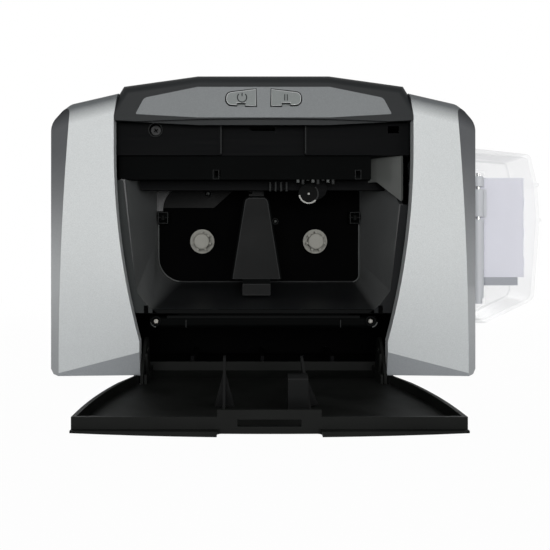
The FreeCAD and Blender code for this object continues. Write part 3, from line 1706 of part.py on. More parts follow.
def hopper_frame():
    # Fixed half of the hopper: a cup in the body, the back wall and the hinge post
    cup = block(cup_left, hopper_front, hopper_low, body_half, hopper_back, hopper_top, hopper_corner_radius)
    inner = prism(
        square(cup_left + hopper_wall, hopper_low + hopper_wall, body_half + overrun, hopper_top - hopper_wall),
        "y",
        hopper_front + hopper_wall,
        hopper_back - hopper_wall,
    )
    cup_corner = hopper_outline(0, cup_left + hopper_corner_radius)
    back = prism(cup_corner, "y", hopper_back - hopper_wall, hopper_back)
    post = knuckles(((barrel_step_z, barrel_mid_low), (barrel_mid_top, barrel_top)), -1)
    step = rod("z", barrel_x, barrel_y, barrel_radius - barrel_step, barrel_low, barrel_step_z)
    slot = block(
        cup_left - overrun,
        hopper_front + hopper_depth / 2 - lift_tongue / 2 - slide_gap,
        lift_slot_low,
        cup_left + hopper_wall + fit_gap,
        hopper_front + hopper_depth / 2 + lift_tongue / 2 + slide_gap,
        card_path_z - lift_slot_low / 4,
    )
    axle = rod("y", pick_x, pick_z, shaft_radius + running_gap, 0, body_depth)
    frame = fused([cup.cut(inner), back, step] + post)
    return frame.cut([slot, axle, card_slot_at_cup(), barrel_bore(seat_gap)])


def card_slot_at_cup():
    return block(
        cup_left - overrun,
        card_front - card_slot_play,
        card_path_z - card_slot_half,
        cup_left + hopper_wall + fit_gap,
        card_front + card_width + card_slot_play,
        card_path_z + card_slot_half,
    )


def hopper_cover():
    # Clear cover with two beads round its outer end
    left = body_half + knuckle_gap / 2
    swing = hopper_back - hopper_wall - slide_gap - barrel_y
    back = barrel_y + math.sqrt(swing ** 2 - (barrel_x - left) ** 2)
    outer = prism(hopper_outline(0, left), "y", hopper_front, back)
    inner = prism(hopper_outline(hopper_wall, left - overrun), "y", hopper_front + hopper_wall, back + overrun)
    beads = []
    for z in bead_places:
        lean = 0 if z == hopper_waist_z else hopper_shoulder_lean
        plan = square(
            bead_left, hopper_front - bead_radius, hopper_outer - lean + bead_radius, back + overrun, bead_radius)
        band = prism(plan, "z", z - bead_radius, z + bead_radius)
        keep = block(left, 0, 0, hopper_outer + overrun, back, cap_top)
        beads.append(band.common(keep).cut(inner))
    window = block(
        body_half,
        -overrun,
        barrel_low - knuckle_gap,
        barrel_x + barrel_radius + knuckle_gap,
        barrel_y + barrel_radius + knuckle_gap,
        barrel_top + knuckle_gap,
    )
    return fused([outer.cut(inner)] + beads).cut([window, cover_knuckle()])


def cover_knuckle():
    # Middle knuckle of the hinge, which carries the clear cover
    pieces = knuckles(((barrel_mid_low + knuckle_gap, barrel_mid_top - knuckle_gap),), 1)
    return fused(pieces).cut(barrel_bore(running_gap))


def hopper_hinge_pin():
    return rod("z", barrel_x, barrel_y, hopper_pin_radius, barrel_step_z, barrel_top)


def card_lift_tray():
    # Shallow tray under the cards, with a tongue through the slot in the cup
    left = cup_left + hopper_wall + slide_gap
    right = stack_right - lift_setback
    front = hopper_front + hopper_wall + slide_gap
    back = hopper_back - hopper_wall - slide_gap
    low = lift_tray_top - lift_tray_thickness
    solid = prism(square(left, front, right, back, card_corner_radius), "z", low, lift_tray_top)
    hollow = prism(
        square(left + hopper_wall, front + hopper_wall, right - hopper_wall, back - hopper_wall,
               card_corner_radius - hopper_wall),
        "z", low - overrun, lift_tray_top - hopper_wall)
    middle = hopper_front + hopper_depth / 2
    tongue = block(
        cup_left - hopper_wall, middle - lift_tongue / 2, low, left + hopper_wall, middle + lift_tongue / 2,
        lift_tray_top - fit_gap)
    return fused([solid.cut(hollow), tongue])


def card_stack():
    # Cards in packs that lie a little out of line with each other
    pieces = []
    height = (stack_top - lift_tray_top) / stack_layers
    for i in range(stack_layers):
        shift = stack_offset * math.sin(2 * i)
        low = lift_tray_top + i * height
        plan = square(
            stack_left + shift, card_front, stack_right + shift, card_front + card_width, card_corner_radius)
        pieces.append(prism(plan, "z", low, low + height))
    return pieces[0].fuse(pieces[1:])


def pick_roller():
    # Rubber roller that draws the top card into the machine
    front = card_front + card_width / 5
    back = card_front + card_width * 4 / 5
    tyre = rod("y", pick_x, pick_z, pick_radius, front, back)
    shaft = rod("y", pick_x, pick_z, shaft_radius, hopper_front, hopper_back)
    return tyre.fuse(shaft)


nodes = {
    "base_pan": base_pan(),
    "side_shell_left": mirrored(right_shell()),
    "side_shell_right": right_shell_with_hopper(),
    "rear_cover": rear_cover(),
    "top_cap": top_cap(),
    "control_inlay": control_inlay(),
    "switch_board": switch_board(),
    "power_button": mirrored(pause_button()),
    "pause_button": pause_button(),
    "bay_liner": bay_liner(),
    "upper_crossbeam": upper_crossbeam(),
    "lower_crossbeam": lower_crossbeam(),
    "beam_screw_left": beam_screw(),
    "inner_guard": inner_guard(),
    "front_cross_bar": front_cross_bar(),
    "cross_bar_pin_left": bar_pin(-1),
    "cross_bar_pin_right": bar_pin(1),
    "drive_plate": drive_plate(),
    "ribbon_side_plate": ribbon_side_plate(),
    "supply_spindle": spindle(supply_x),
    "supply_encoder_disc": encoder_disc(),
    "takeup_spindle": spindle(takeup_x),
    "takeup_gear": takeup_gear(),
    "ribbon_motor": motor(ribbon_motor_axis, ribbon_direction),
    "ribbon_pinion": ribbon_pinion(),
    "card_path_plate": card_path_plate(),
    "platen_roller": roller(platen_axis, platen_radius),
    "platen_gear": roller_gear(platen_axis),
    "feed_roller": roller(feed_roller_axis, feed_roller_radius),
    "feed_gear": roller_gear(feed_roller_axis),
    "feed_motor": motor(feed_motor_axis, roller_heading),
    "feed_pinion": feed_pinion(),
    "print_head_tower": head_tower(),
    "print_head": print_head(),
    "tower_clip": tower_clip(),
    "bay_clip_left": bay_clip(-1),
    "bay_clip_right": bay_clip(1),
    "main_board": main_board(),
    "power_jack": power_jack(),
    "usb_port": usb_port(),
    "front_door": opened(closed_door()),
    "door_fin_left": door_fin(-1),
    "door_fin_right": door_fin(1),
    "door_tab": door_tab(),
    "hopper_frame": hopper_frame(),
    "hopper_cover": hopper_cover(),
    "cover_knuckle": cover_knuckle(),
    "hopper_hinge_pin": hopper_hinge_pin(),
    "card_lift_tray": card_lift_tray(),
    "card_stack": card_stack(),
    "pick_roller": pick_roller(),
}
for side_name, side in (("left", -1), ("right", 1)):
    bracket = hinge_bracket()
    pin = door_hinge_pin()
    nodes["hinge_bracket_" + side_name] = bracket if side > 0 else mirrored(bracket)
    nodes["door_hinge_pin_" + side_name] = pin if side > 0 else mirrored(pin)
    for depth_name, depth_side in (("front", -1), ("back", 1)):
        nodes["foot_" + depth_name + "_" + side_name] = rubber_foot(side, depth_side)

# The origin goes to the middle of the whole model's box, on the table
whole = Part.makeCompound(list(nodes.values())).optimalBoundingBox(True, False)
shift = FreeCAD.Vector(-(whole.XMin + whole.XMax) / 2, -(whole.YMin + whole.YMax) / 2, -whole.ZMin)
os.makedirs("parts", exist_ok=True)
for name, shape in nodes.items():
    shape.translate(shift)
    shape.exportStep(os.path.join("parts", name + ".step"))
print(len(nodes), "pieces; shift", shift, "box", whole)
for label, axis in (("ribbon motor", ribbon_motor_axis), ("feed motor", feed_motor_axis),
                    ("platen", platen_axis), ("feed roller", feed_roller_axis), ("pick", (pick_x, pick_z))):
    print(label, round(axis[0] + shift.x, 4), round(axis[1] + shift.z, 4))
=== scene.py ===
import json
import math
import bpy
import numpy as np
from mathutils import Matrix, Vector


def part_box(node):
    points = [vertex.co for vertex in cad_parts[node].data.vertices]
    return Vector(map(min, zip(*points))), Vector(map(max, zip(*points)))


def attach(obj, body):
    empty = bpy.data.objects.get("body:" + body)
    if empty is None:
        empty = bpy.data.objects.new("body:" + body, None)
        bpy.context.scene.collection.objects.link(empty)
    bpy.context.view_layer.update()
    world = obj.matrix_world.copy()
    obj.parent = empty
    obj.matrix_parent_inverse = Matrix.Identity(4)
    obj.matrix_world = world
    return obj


# Looks of the card printer. Metres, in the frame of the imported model.
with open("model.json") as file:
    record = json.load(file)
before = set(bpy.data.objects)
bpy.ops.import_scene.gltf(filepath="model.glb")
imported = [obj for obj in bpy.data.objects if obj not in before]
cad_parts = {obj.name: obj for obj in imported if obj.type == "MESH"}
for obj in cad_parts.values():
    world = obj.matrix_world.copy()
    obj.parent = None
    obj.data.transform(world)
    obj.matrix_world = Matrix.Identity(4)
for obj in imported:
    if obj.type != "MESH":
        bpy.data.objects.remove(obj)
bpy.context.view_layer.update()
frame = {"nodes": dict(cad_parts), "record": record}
parts = frame["nodes"]
print("loaded", len(parts), "parts")


def screenColour(red, green, blue):
    # screen levels from 0 to 255, as the linear light that a shader takes
    return tuple((level / 255) ** 2.2 for level in (red, green, blue)) + (1.0,)


# Camera: where the lens stood, and how the photograph is cropped round its axis
photoView = {
    "place": (-0.04643, -0.62906, 0.11086),
    "focalPixels": 765.46,
    "framePixels": 550,
    "axisAcross": 246.57,
    "axisDown": 248.28,
    "sensor": 36.0,
    "clipStart": 0.01,
}


def placeCamera(view):
    lens = bpy.data.cameras.new("photoCamera")
    lens.sensor_width = view["sensor"]
    lens.lens = view["focalPixels"] / view["framePixels"] * view["sensor"]
    lens.shift_x = 0.5 - view["axisAcross"] / view["framePixels"]
    lens.shift_y = view["axisDown"] / view["framePixels"] - 0.5
    lens.clip_start = view["clipStart"]
    camera = bpy.data.objects.new("photoCamera", lens)
    camera.location = view["place"]
    camera.rotation_euler = (math.pi / 2, 0, 0)
    bpy.context.scene.collection.objects.link(camera)
    bpy.context.scene.camera = camera


# Short ways to join shader nodes: each gives back the socket that carries its result
def linkOrSet(tree, socket, value):
    # a socket follows another socket, or holds a plain number or colour
    if isinstance(value, bpy.types.NodeSocket):
        tree.links.new(value, socket)
    else:
        socket.default_value = value


def mathNode(tree, rule, *terms):
    # one sum over sockets or plain numbers
    node = tree.nodes.new("ShaderNodeMath")
    node.operation = rule
    for socket, term in zip(node.inputs, terms):
        linkOrSet(tree, socket, term)
    return node.outputs[0]


def spreadShare(tree, value, low, high, start=0.0, end=1.0, curve="LINEAR"):
    # start where the value is at low, end where it is at high, and in step between them
    share = tree.nodes.new("ShaderNodeMapRange")
    share.interpolation_type = curve
    for name, limit in {"From Min": low, "From Max": high, "To Min": start, "To Max": end}.items():
        share.inputs[name].default_value = limit
    tree.links.new(value, share.inputs["Value"])
    return share.outputs["Result"]


def splitVector(tree, vector):
    # the X, Y and Z of a vector
    split = tree.nodes.new("ShaderNodeSeparateXYZ")
    tree.links.new(vector, split.inputs["Vector"])
    return split.outputs


def objectPlace(tree):
    return tree.nodes.new("ShaderNodeTexCoord").outputs["Object"]


def seenShare(tree):
    # 1 where the eye, a reflection or a clear part looks at the surround, and 0 where it only gives light
    rays = tree.nodes.new("ShaderNodeLightPath").outputs
    seen = mathNode(tree, "MAXIMUM", rays["Is Camera Ray"], rays["Is Glossy Ray"])
    return mathNode(tree, "MAXIMUM", seen, rays["Is Transmission Ray"])


# Studio: a pale floor, a white surround and seven soft lamps
studio = {
    "floorHalf": 4.0,
    "floorColour": (236, 237, 238),
    "floorGlow": 0.975,
    "clearFrom": 0.35,
    "clearTo": 1.1,
    "surround": 0.14,
    "lamps": {
        "front": {"place": (-0.1, -1.75, 0.22), "aim": (-0.03, 0, 0.14), "size": (1.0, 0.7), "watts": 19.5},
        "overhead": {"place": (-0.2, -0.3, 1.6), "aim": (-0.03, 0, 0.12), "size": (1.4, 1.0), "watts": 0.4},
        "left": {"place": (-1.0, -1.3, 0.3), "aim": (0.03, 0, 0.12), "size": (0.5, 0.6), "watts": 0.8},
        "right": {"place": (0.95, -1.3, 0.3), "aim": (-0.1, 0, 0.12), "size": (0.5, 0.6), "watts": 3.4},
        "sideLeft": {"place": (-1.4, 1.7, 0.4), "aim": (-0.2, 0.05, 0.12), "size": (0.9, 0.8), "watts": 30},
        "sideRight": {"place": (1.4, 1.7, 0.4), "aim": (0.2, 0.05, 0.12), "size": (0.9, 0.8), "watts": 30},
        "behind": {"place": (-0.03, 2.1, 0.6), "aim": (-0.03, 0.2, 0.12), "size": (1.0, 0.8), "watts": 8},
    },
}


def surroundWorld(values):
    world = bpy.data.worlds.new("surround")
    bpy.context.scene.world = world
    world.use_nodes = True
    tree = world.node_tree
    tree.nodes.clear()
    glow = tree.nodes.new("ShaderNodeBackground")
    glow.inputs["Color"].default_value = (1, 1, 1, 1)
    tree.links.new(spreadShare(tree, seenShare(tree), 0, 1, values["surround"]), glow.inputs["Strength"])
    output = tree.nodes.new("ShaderNodeOutputWorld")
    tree.links.new(glow.outputs[0], output.inputs["Surface"])


def paleFloor(values):
    half = values["floorHalf"]
    mesh = bpy.data.meshes.new("floor")
    corners = [(-half, -half, 0), (half, -half, 0), (half, half, 0), (-half, half, 0)]
    mesh.from_pydata(corners, [], [(0, 1, 2, 3)])
    floor = bpy.data.objects.new("floor", mesh)
    bpy.context.scene.collection.objects.link(floor)
    paper = bpy.data.materials.new("whitePaper")
    paper.use_nodes = True
    tree = paper.node_tree
    tree.nodes.clear()
    matt = tree.nodes.new("ShaderNodeBsdfDiffuse")
    matt.inputs["Color"].default_value = screenColour(*values["floorColour"])
    glow = tree.nodes.new("ShaderNodeEmission")
    glow.inputs["Strength"].default_value = 1.0
    # the paper turns to plain white away from the printer, so that no edge of the floor shows
    reach = tree.nodes.new("ShaderNodeVectorMath")
    reach.operation = "LENGTH"
    tree.links.new(objectPlace(tree), reach.inputs[0])
    fade = spreadShare(tree, reach.outputs["Value"], values["clearFrom"], values["clearTo"],
                       values["floorGlow"], curve="SMOOTHSTEP")
    mix = tree.nodes.new("ShaderNodeMixShader")
    tree.links.new(mathNode(tree, "MULTIPLY", fade, seenShare(tree)), mix.inputs["Fac"])
    tree.links.new(matt.outputs[0], mix.inputs[1])
    tree.links.new(glow.outputs[0], mix.inputs[2])
    output = tree.nodes.new("ShaderNodeOutputMaterial")
    tree.links.new(mix.outputs[0], output.inputs["Surface"])
    mesh.materials.append(paper)


def softLamps(values):
    for name, lamp in values["lamps"].items():
        light = bpy.data.lights.new(name + "Lamp", "AREA")
        light.shape = "RECTANGLE"
        light.size, light.size_y = lamp["size"]
        light.energy = lamp["watts"]
        holder = bpy.data.objects.new(name + "Lamp", light)
        holder.location = lamp["place"]
        aim = np.array(lamp["aim"]) - np.array(lamp["place"])
        across = math.hypot(aim[0], aim[1])
        holder.rotation_euler = (math.atan2(across, -aim[2]), 0, math.atan2(-aim[0], aim[1]))
        bpy.context.scene.collection.objects.link(holder)


bpy.context.scene.view_settings.view_transform = "Standard"
placeCamera(photoView)
surroundWorld(studio)
paleFloor(studio)
softLamps(studio)
print("camera, floor and lamps are set")


def newFinish(name, values):
    # one shader with its plain values, and its tree for what varies over the surface
    material = bpy.data.materials.new(name)
    material.use_nodes = True
    tree = material.node_tree
    shader = tree.nodes["Principled BSDF"]
    shader.inputs["Base Color"].default_value = screenColour(*values["colour"])
    shader.inputs["Metallic"].default_value = values.get("metal", 0.0)
    shader.inputs["Roughness"].default_value = values["rough"]
    shader.inputs["Specular IOR Level"].default_value = values.get("shine", 0.5)
    return material, tree, shader


# Noise: how fine its detail is, and between which of its levels a roughness or a colour changes
noiseSettings = {
    "patchDetail": 4.0,
    "grainDetail": 2.0,
    "lineDetail": 3.0,
    "roughEnds": (0.3, 0.7),
    "colourEnds": (0.35, 0.65),
}


def noiseOn(tree, scale, detail, stretch=(1, 1, 1)):
    spread = tree.nodes.new("ShaderNodeMapping")
    spread.inputs["Scale"].default_value = stretch
    noise = tree.nodes.new("ShaderNodeTexNoise")
    noise.inputs["Scale"].default_value = scale
    noise.inputs["Detail"].default_value = noiseSettings[detail]
    tree.links.new(objectPlace(tree), spread.inputs["Vector"])
    tree.links.new(spread.outputs["Vector"], noise.inputs["Vector"])
    return noise.outputs["Fac"]


def colourBetween(tree, share, one, other, ends=(0.0, 1.0)):
    # one colour up to the first end, the other from the second end on, and a blend between them
    ramp = tree.nodes.new("ShaderNodeValToRGB")
    for element, end, colour in zip(ramp.color_ramp.elements, ends, (one, other)):
        element.position = end
        element.color = screenColour(*colour)
    tree.links.new(share, ramp.inputs["Fac"])
    return ramp.outputs["Color"]


def mottled(values):
    # the darkest and the lightest tone of a finish
    colour, by = values["colour"], values["mottle"]
    return tuple(max(0, level - by) for level in colour), tuple(min(255, level + by) for level in colour)


def varyRoughness(tree, shader, noise, values):
    low, high = values["rough"] - values["play"], values["rough"] + values["play"]
    spread = spreadShare(tree, noise, *noiseSettings["roughEnds"], low, high)
    tree.links.new(spread, shader.inputs["Roughness"])


def varyColour(tree, shader, noise, values):
    tone = colourBetween(tree, noise, *mottled(values), noiseSettings["colourEnds"])
    tree.links.new(tone, shader.inputs["Base Color"])


def raiseGrain(tree, shader, height, values):
    bump = tree.nodes.new("ShaderNodeBump")
    bump.inputs["Distance"].default_value = values["grainHeight"]
    bump.inputs["Strength"].default_value = values["grainStrength"]
    tree.links.new(height, bump.inputs["Height"])
    tree.links.new(bump.outputs["Normal"], shader.inputs["Normal"])


def layColour(tree, under, over, share, blend="MIX"):
    # one colour laid over another, or multiplied into it, as far as the share says
    mix = tree.nodes.new("ShaderNodeMix")
    mix.data_type = "RGBA"
    mix.blend_type = blend
    for name, value in (("Factor", share), ("A", under), ("B", over)):
        linkOrSet(tree, mix.inputs[name], value)
    return mix.outputs["Result"]


def mouldedPlastic(name, values):
    # spark-eroded grain, with patches that are a little shinier from handling
    material, tree, shader = newFinish(name, values)
    patches = noiseOn(tree, values["patch"], "patchDetail")
    varyRoughness(tree, shader, patches, values)
    varyColour(tree, shader, patches, values)
    raiseGrain(tree, shader, noiseOn(tree, values["grain"], "grainDetail"), values)
    return material


def trayWithPaintedWallLight(name, values):
    # the same grain, paler on the side walls as painted light
    material = mouldedPlastic(name, values)
    tree = material.node_tree
    shader = tree.nodes["Principled BSDF"]
    plain = shader.inputs["Base Color"].links[0].from_socket
    facing = splitVector(tree, tree.nodes.new("ShaderNodeNewGeometry").outputs["Normal"])
    wallLightShare = mathNode(tree, "ABSOLUTE", facing["X"])
    tone = layColour(tree, plain, screenColour(*values["wallColour"]), wallLightShare)
    tree.links.new(tone, shader.inputs["Base Color"])
    return material


def flakePaint(name, values):
    # silver lacquer: tiny flakes that differ in tone, under a fine grain
    material, tree, shader = newFinish(name, values)
    flakes = tree.nodes.new("ShaderNodeTexVoronoi")
    flakes.inputs["Scale"].default_value = values["flakes"]
    tree.links.new(objectPlace(tree), flakes.inputs["Vector"])
    flake = tree.nodes.new("ShaderNodeSeparateColor")
    tree.links.new(flakes.outputs["Color"], flake.inputs["Color"])
    tone = colourBetween(tree, flake.outputs[0], *mottled(values))
    tree.links.new(tone, shader.inputs["Base Color"])
    varyRoughness(tree, shader, noiseOn(tree, values["patch"], "patchDetail"), values)
    raiseGrain(tree, shader, noiseOn(tree, values["grain"], "grainDetail"), values)
    return material


def lacquerWithPaintedShade(name, values):
    # the same lacquer with painted shade: darker on the facets that are turned half to the side, on the band
    # below the upper edge and where it turns down, and a little so at its foot
    material = flakePaint(name, values)
    tree = material.node_tree
    shader = tree.nodes["Principled BSDF"]
    place = splitVector(tree, objectPlace(tree))
    facing = splitVector(tree, tree.nodes.new("ShaderNodeNewGeometry").outputs["True Normal"])
    turn = mathNode(tree, "ABSOLUTE", mathNode(tree, "MULTIPLY", facing["X"], facing["Y"]))
    facetShadeShare = spreadShare(tree, turn, *values["facetTurn"])
    facetHeight = spreadShare(tree, place["Z"], *values["facetHeights"], curve="SMOOTHSTEP")
    facetShade = colourBetween(tree, facetHeight, values["facetFoot"], values["facetTop"])
    # the crown is that band, which falls away to either side of the cap, and takes painted shade
    out = mathNode(tree, "ABSOLUTE", mathNode(tree, "ADD", place["X"], values["crownMiddle"]))
    beside = mathNode(tree, "SUBTRACT", out, values["crownStart"])
    fall = mathNode(tree, "MULTIPLY", beside, values["crownSlope"])
    band = spreadShare(tree, mathNode(tree, "ADD", place["Z"], fall), *values["crownBand"])
    upright = spreadShare(tree, facing["Z"], *values["crownTurn"])
    crownShadeShare = mathNode(tree, "MULTIPLY", band, upright)
    # painted shade on the faces that look downwards
    underShadeShare = spreadShare(tree, facing["Z"], *values["underTurn"])
    # painted shade that grows towards the foot
    footHeight = spreadShare(tree, place["Z"], *values["footHeights"], curve="SMOOTHSTEP")
    footTint = colourBetween(tree, footHeight, values["footTint"], values["noTint"])
    painted = shader.inputs["Base Color"].links[0].from_socket
    for tint, share in (
        (facetShade, facetShadeShare),
        (screenColour(*values["crownTint"]), crownShadeShare),
        (screenColour(*values["underTint"]), underShadeShare),
        (footTint, 1.0),
    ):
        painted = layColour(tree, painted, tint, share, "MULTIPLY")
    tree.links.new(painted, shader.inputs["Base Color"])
    return material


def drawnMetal(name, values):
    # fine lines along one direction, left by rolling or turning
    material, tree, shader = newFinish(name, values)
    lines = noiseOn(tree, values["lines"], "lineDetail", values["along"])
    varyRoughness(tree, shader, lines, values)
    varyColour(tree, shader, lines, values)
    raiseGrain(tree, shader, lines, values)
    return material


def clearSheet(name, values):
    # clear polycarbonate: seen through from the front, and paler grey where it is seen along its wall, as
    # painted reflection
    material, tree, shader = newFinish(name, values)
    shader.inputs["IOR"].default_value = values["bend"]
    facing = tree.nodes.new("ShaderNodeLayerWeight").outputs["Facing"]
    cover = spreadShare(tree, facing, values["edgeFrom"], 1, values["haze"], values["edgeHaze"])
    tree.links.new(cover, shader.inputs["Alpha"])
    # painted reflection: the colour turns grey where the surface is seen edge-on
    tone = colourBetween(tree, facing, values["colour"], values["edgeColour"], (values["edgeFrom"], 1.0))
    tree.links.new(tone, shader.inputs["Base Color"])
    flow = noiseOn(tree, values["patch"], "lineDetail", values["along"])
    varyRoughness(tree, shader, flow, values)
    raiseGrain(tree, shader, flow, values)
    return material


def postAndPane(name, values):
    # one moulding, frosted clear, with a painted post along its edge by the printer
    material, tree, shader = newFinish(name, values)
    place = splitVector(tree, objectPlace(tree))
    beside = mathNode(tree, "LESS_THAN", place["X"], values["postEdge"])
    below = mathNode(tree, "LESS_THAN", place["Z"], values["postTop"])
    above = mathNode(tree, "GREATER_THAN", place["Z"], values["postFoot"])
    post = mathNode(tree, "MULTIPLY", mathNode(tree, "MULTIPLY", beside, below), above)
    tree.links.new(spreadShare(tree, post, 0, 1, values["haze"]), shader.inputs["Alpha"])
    flow = noiseOn(tree, values["patch"], "lineDetail")
    varyRoughness(tree, shader, flow, values)
    raiseGrain(tree, shader, flow, values)
    return material


def packedCards(name, values):
    # edges of many thin cards, one over the other, with a dark line between each two
    material, tree, shader = newFinish(name, values)
    height = splitVector(tree, objectPlace(tree))["Z"]
    within = mathNode(tree, "FRACT", mathNode(tree, "DIVIDE", height, values["cardThickness"]))
    tone = colourBetween(tree, within, *mottled(values), values["gapEnds"])
    tree.links.new(tone, shader.inputs["Base Color"])
    raiseGrain(tree, shader, tone, values)
    return material


def circuitBoard(name, values):
    # solder resist with tracks that show through as a lighter green
    material, tree, shader = newFinish(name, values)
    tracks = tree.nodes.new("ShaderNodeTexBrick")
    tracks.inputs["Scale"].default_value = values["tracks"]
    tracks.inputs["Color1"].default_value = screenColour(*values["colour"])
    tracks.inputs["Color2"].default_value = screenColour(*mottled(values)[1])
    tracks.inputs["Mortar"].default_value = screenColour(*values["trackColour"])
    tracks.inputs["Mortar Size"].default_value = values["trackWidth"]
    tree.links.new(objectPlace(tree), tracks.inputs["Vector"])
    tree.links.new(tracks.outputs["Color"], shader.inputs["Base Color"])
    varyRoughness(tree, shader, noiseOn(tree, values["patch"], "grainDetail"), values)
    return material


# Finishes, one for each material slot of the record. The grains that several of them share come first
coarseGrain = {"patch": 22, "grain": 2200, "grainHeight": 0.00006, "grainStrength": 0.35}
fineGrain = {"grain": 2000, "grainHeight": 0.00004, "grainStrength": 0.2}
paintGrain = {"flakes": 3600, "grain": 2800, "grainHeight": 0.00003, "grainStrength": 0.2}
fineLines = {"lines": 900, "along": (0.04, 1, 1), "grainHeight": 0.00001, "grainStrength": 0.2}
finishes = {
    # the silver shell: its facets, crown, underside and foot are darkened with painted shade
    "silver_shell": (lacquerWithPaintedShade, {
        "colour": (205, 208, 208), "metal": 0.05, "rough": 0.46, "play": 0.03, "mottle": 9, "shine": 0.08,
        "flakes": 3200, "patch": 14, "grain": 2600, "grainHeight": 0.00004, "grainStrength": 0.22,
        "facetTurn": (0.3, 0.4), "facetHeights": (0.07, 0.2), "facetTop": (118, 118, 121),
        "facetFoot": (206, 206, 208), "footHeights": (0.0, 0.13), "footTint": (232, 233, 234),
        "noTint": (255, 255, 255), "crownMiddle": 0.0329, "crownStart": 0.1188, "crownSlope": 0.25,
        "crownBand": (0.2180, 0.2300), "crownTurn": (0.96, 0.9), "crownTint": (132, 134, 136),
        "underTurn": (-0.08, -0.2), "underTint": (196, 197, 200)}),
    "charcoal_cap": (mouldedPlastic, {
        "colour": (36, 38, 39), "rough": 0.48, "play": 0.05, "mottle": 3, "shine": 0.14, "patch": 18,
        "grain": 2400, "grainHeight": 0.00005, "grainStrength": 0.3}),
    "inlay_grey": (flakePaint, {
        **paintGrain, "colour": (120, 123, 124), "metal": 0.05, "rough": 0.42, "play": 0.03, "mottle": 6,
        "shine": 0.1, "patch": 16}),
    "button_grey": (flakePaint, {
        **paintGrain, "colour": (122, 126, 125), "metal": 0.05, "rough": 0.42, "play": 0.03, "mottle": 5,
        "shine": 0.1, "patch": 30}),
    "black_plastic": (mouldedPlastic, {
        **coarseGrain, "colour": (14, 15, 15), "rough": 0.5, "play": 0.06, "mottle": 3, "shine": 0.08}),
    "dark_steel": (drawnMetal, {
        "colour": (11, 12, 13), "rough": 0.5, "play": 0.06, "mottle": 3, "shine": 0.03, "lines": 500,
        "along": (0.03, 1, 1), "grainHeight": 0.00002, "grainStrength": 0.2}),
    "bright_steel": (drawnMetal, {
        **fineLines, "colour": (196, 196, 194), "metal": 1.0, "rough": 0.24, "play": 0.06, "mottle": 10}),
    "hub_white": (mouldedPlastic, {
        **fineGrain, "colour": (146, 145, 138), "rough": 0.45, "play": 0.04, "mottle": 4, "shine": 0.15,
        "patch": 60}),
    "gear_white": (mouldedPlastic, {
        "colour": (220, 218, 210), "rough": 0.4, "play": 0.05, "mottle": 4, "patch": 60, "grain": 1800,
        "grainHeight": 0.00003, "grainStrength": 0.2}),
    "rubber": (mouldedPlastic, {
        "colour": (30, 30, 31), "rough": 0.72, "play": 0.06, "mottle": 4, "shine": 0.3, "patch": 60,
        "grain": 1500, "grainHeight": 0.00008, "grainStrength": 0.4}),
    "board_green": (circuitBoard, {
        "colour": (24, 78, 50), "trackColour": (60, 120, 80), "rough": 0.35, "play": 0.08, "mottle": 6,
        "tracks": 260, "trackWidth": 0.012, "patch": 60}),
    "motor_steel": (drawnMetal, {
        "colour": (168, 170, 172), "metal": 0.95, "rough": 0.34, "play": 0.06, "mottle": 8, "lines": 800,
        "along": (1, 0.05, 1), "grainHeight": 0.00001, "grainStrength": 0.2}),
    "post_grey": (mouldedPlastic, {
        **fineGrain, "colour": (198, 200, 204), "rough": 0.4, "play": 0.04, "mottle": 3, "shine": 0.15,
        "patch": 30}),
    "clear_cover": (clearSheet, {
        "colour": (246, 247, 250), "edgeColour": (150, 155, 163), "rough": 0.08, "play": 0.03, "shine": 0.3,
        "haze": 0.09, "edgeHaze": 0.8, "edgeFrom": 0.78, "bend": 1.5, "patch": 40, "along": (1, 1, 0.25),
        "grainHeight": 0.00004, "grainStrength": 0.06}),
    "card_white": (packedCards, {
        "colour": (222, 222, 231), "rough": 0.4, "mottle": 8, "shine": 0.1, "cardThickness": 0.00076,
        "gapEnds": (0.05, 0.3), "grainHeight": 0.00005, "grainStrength": 0.3}),
}


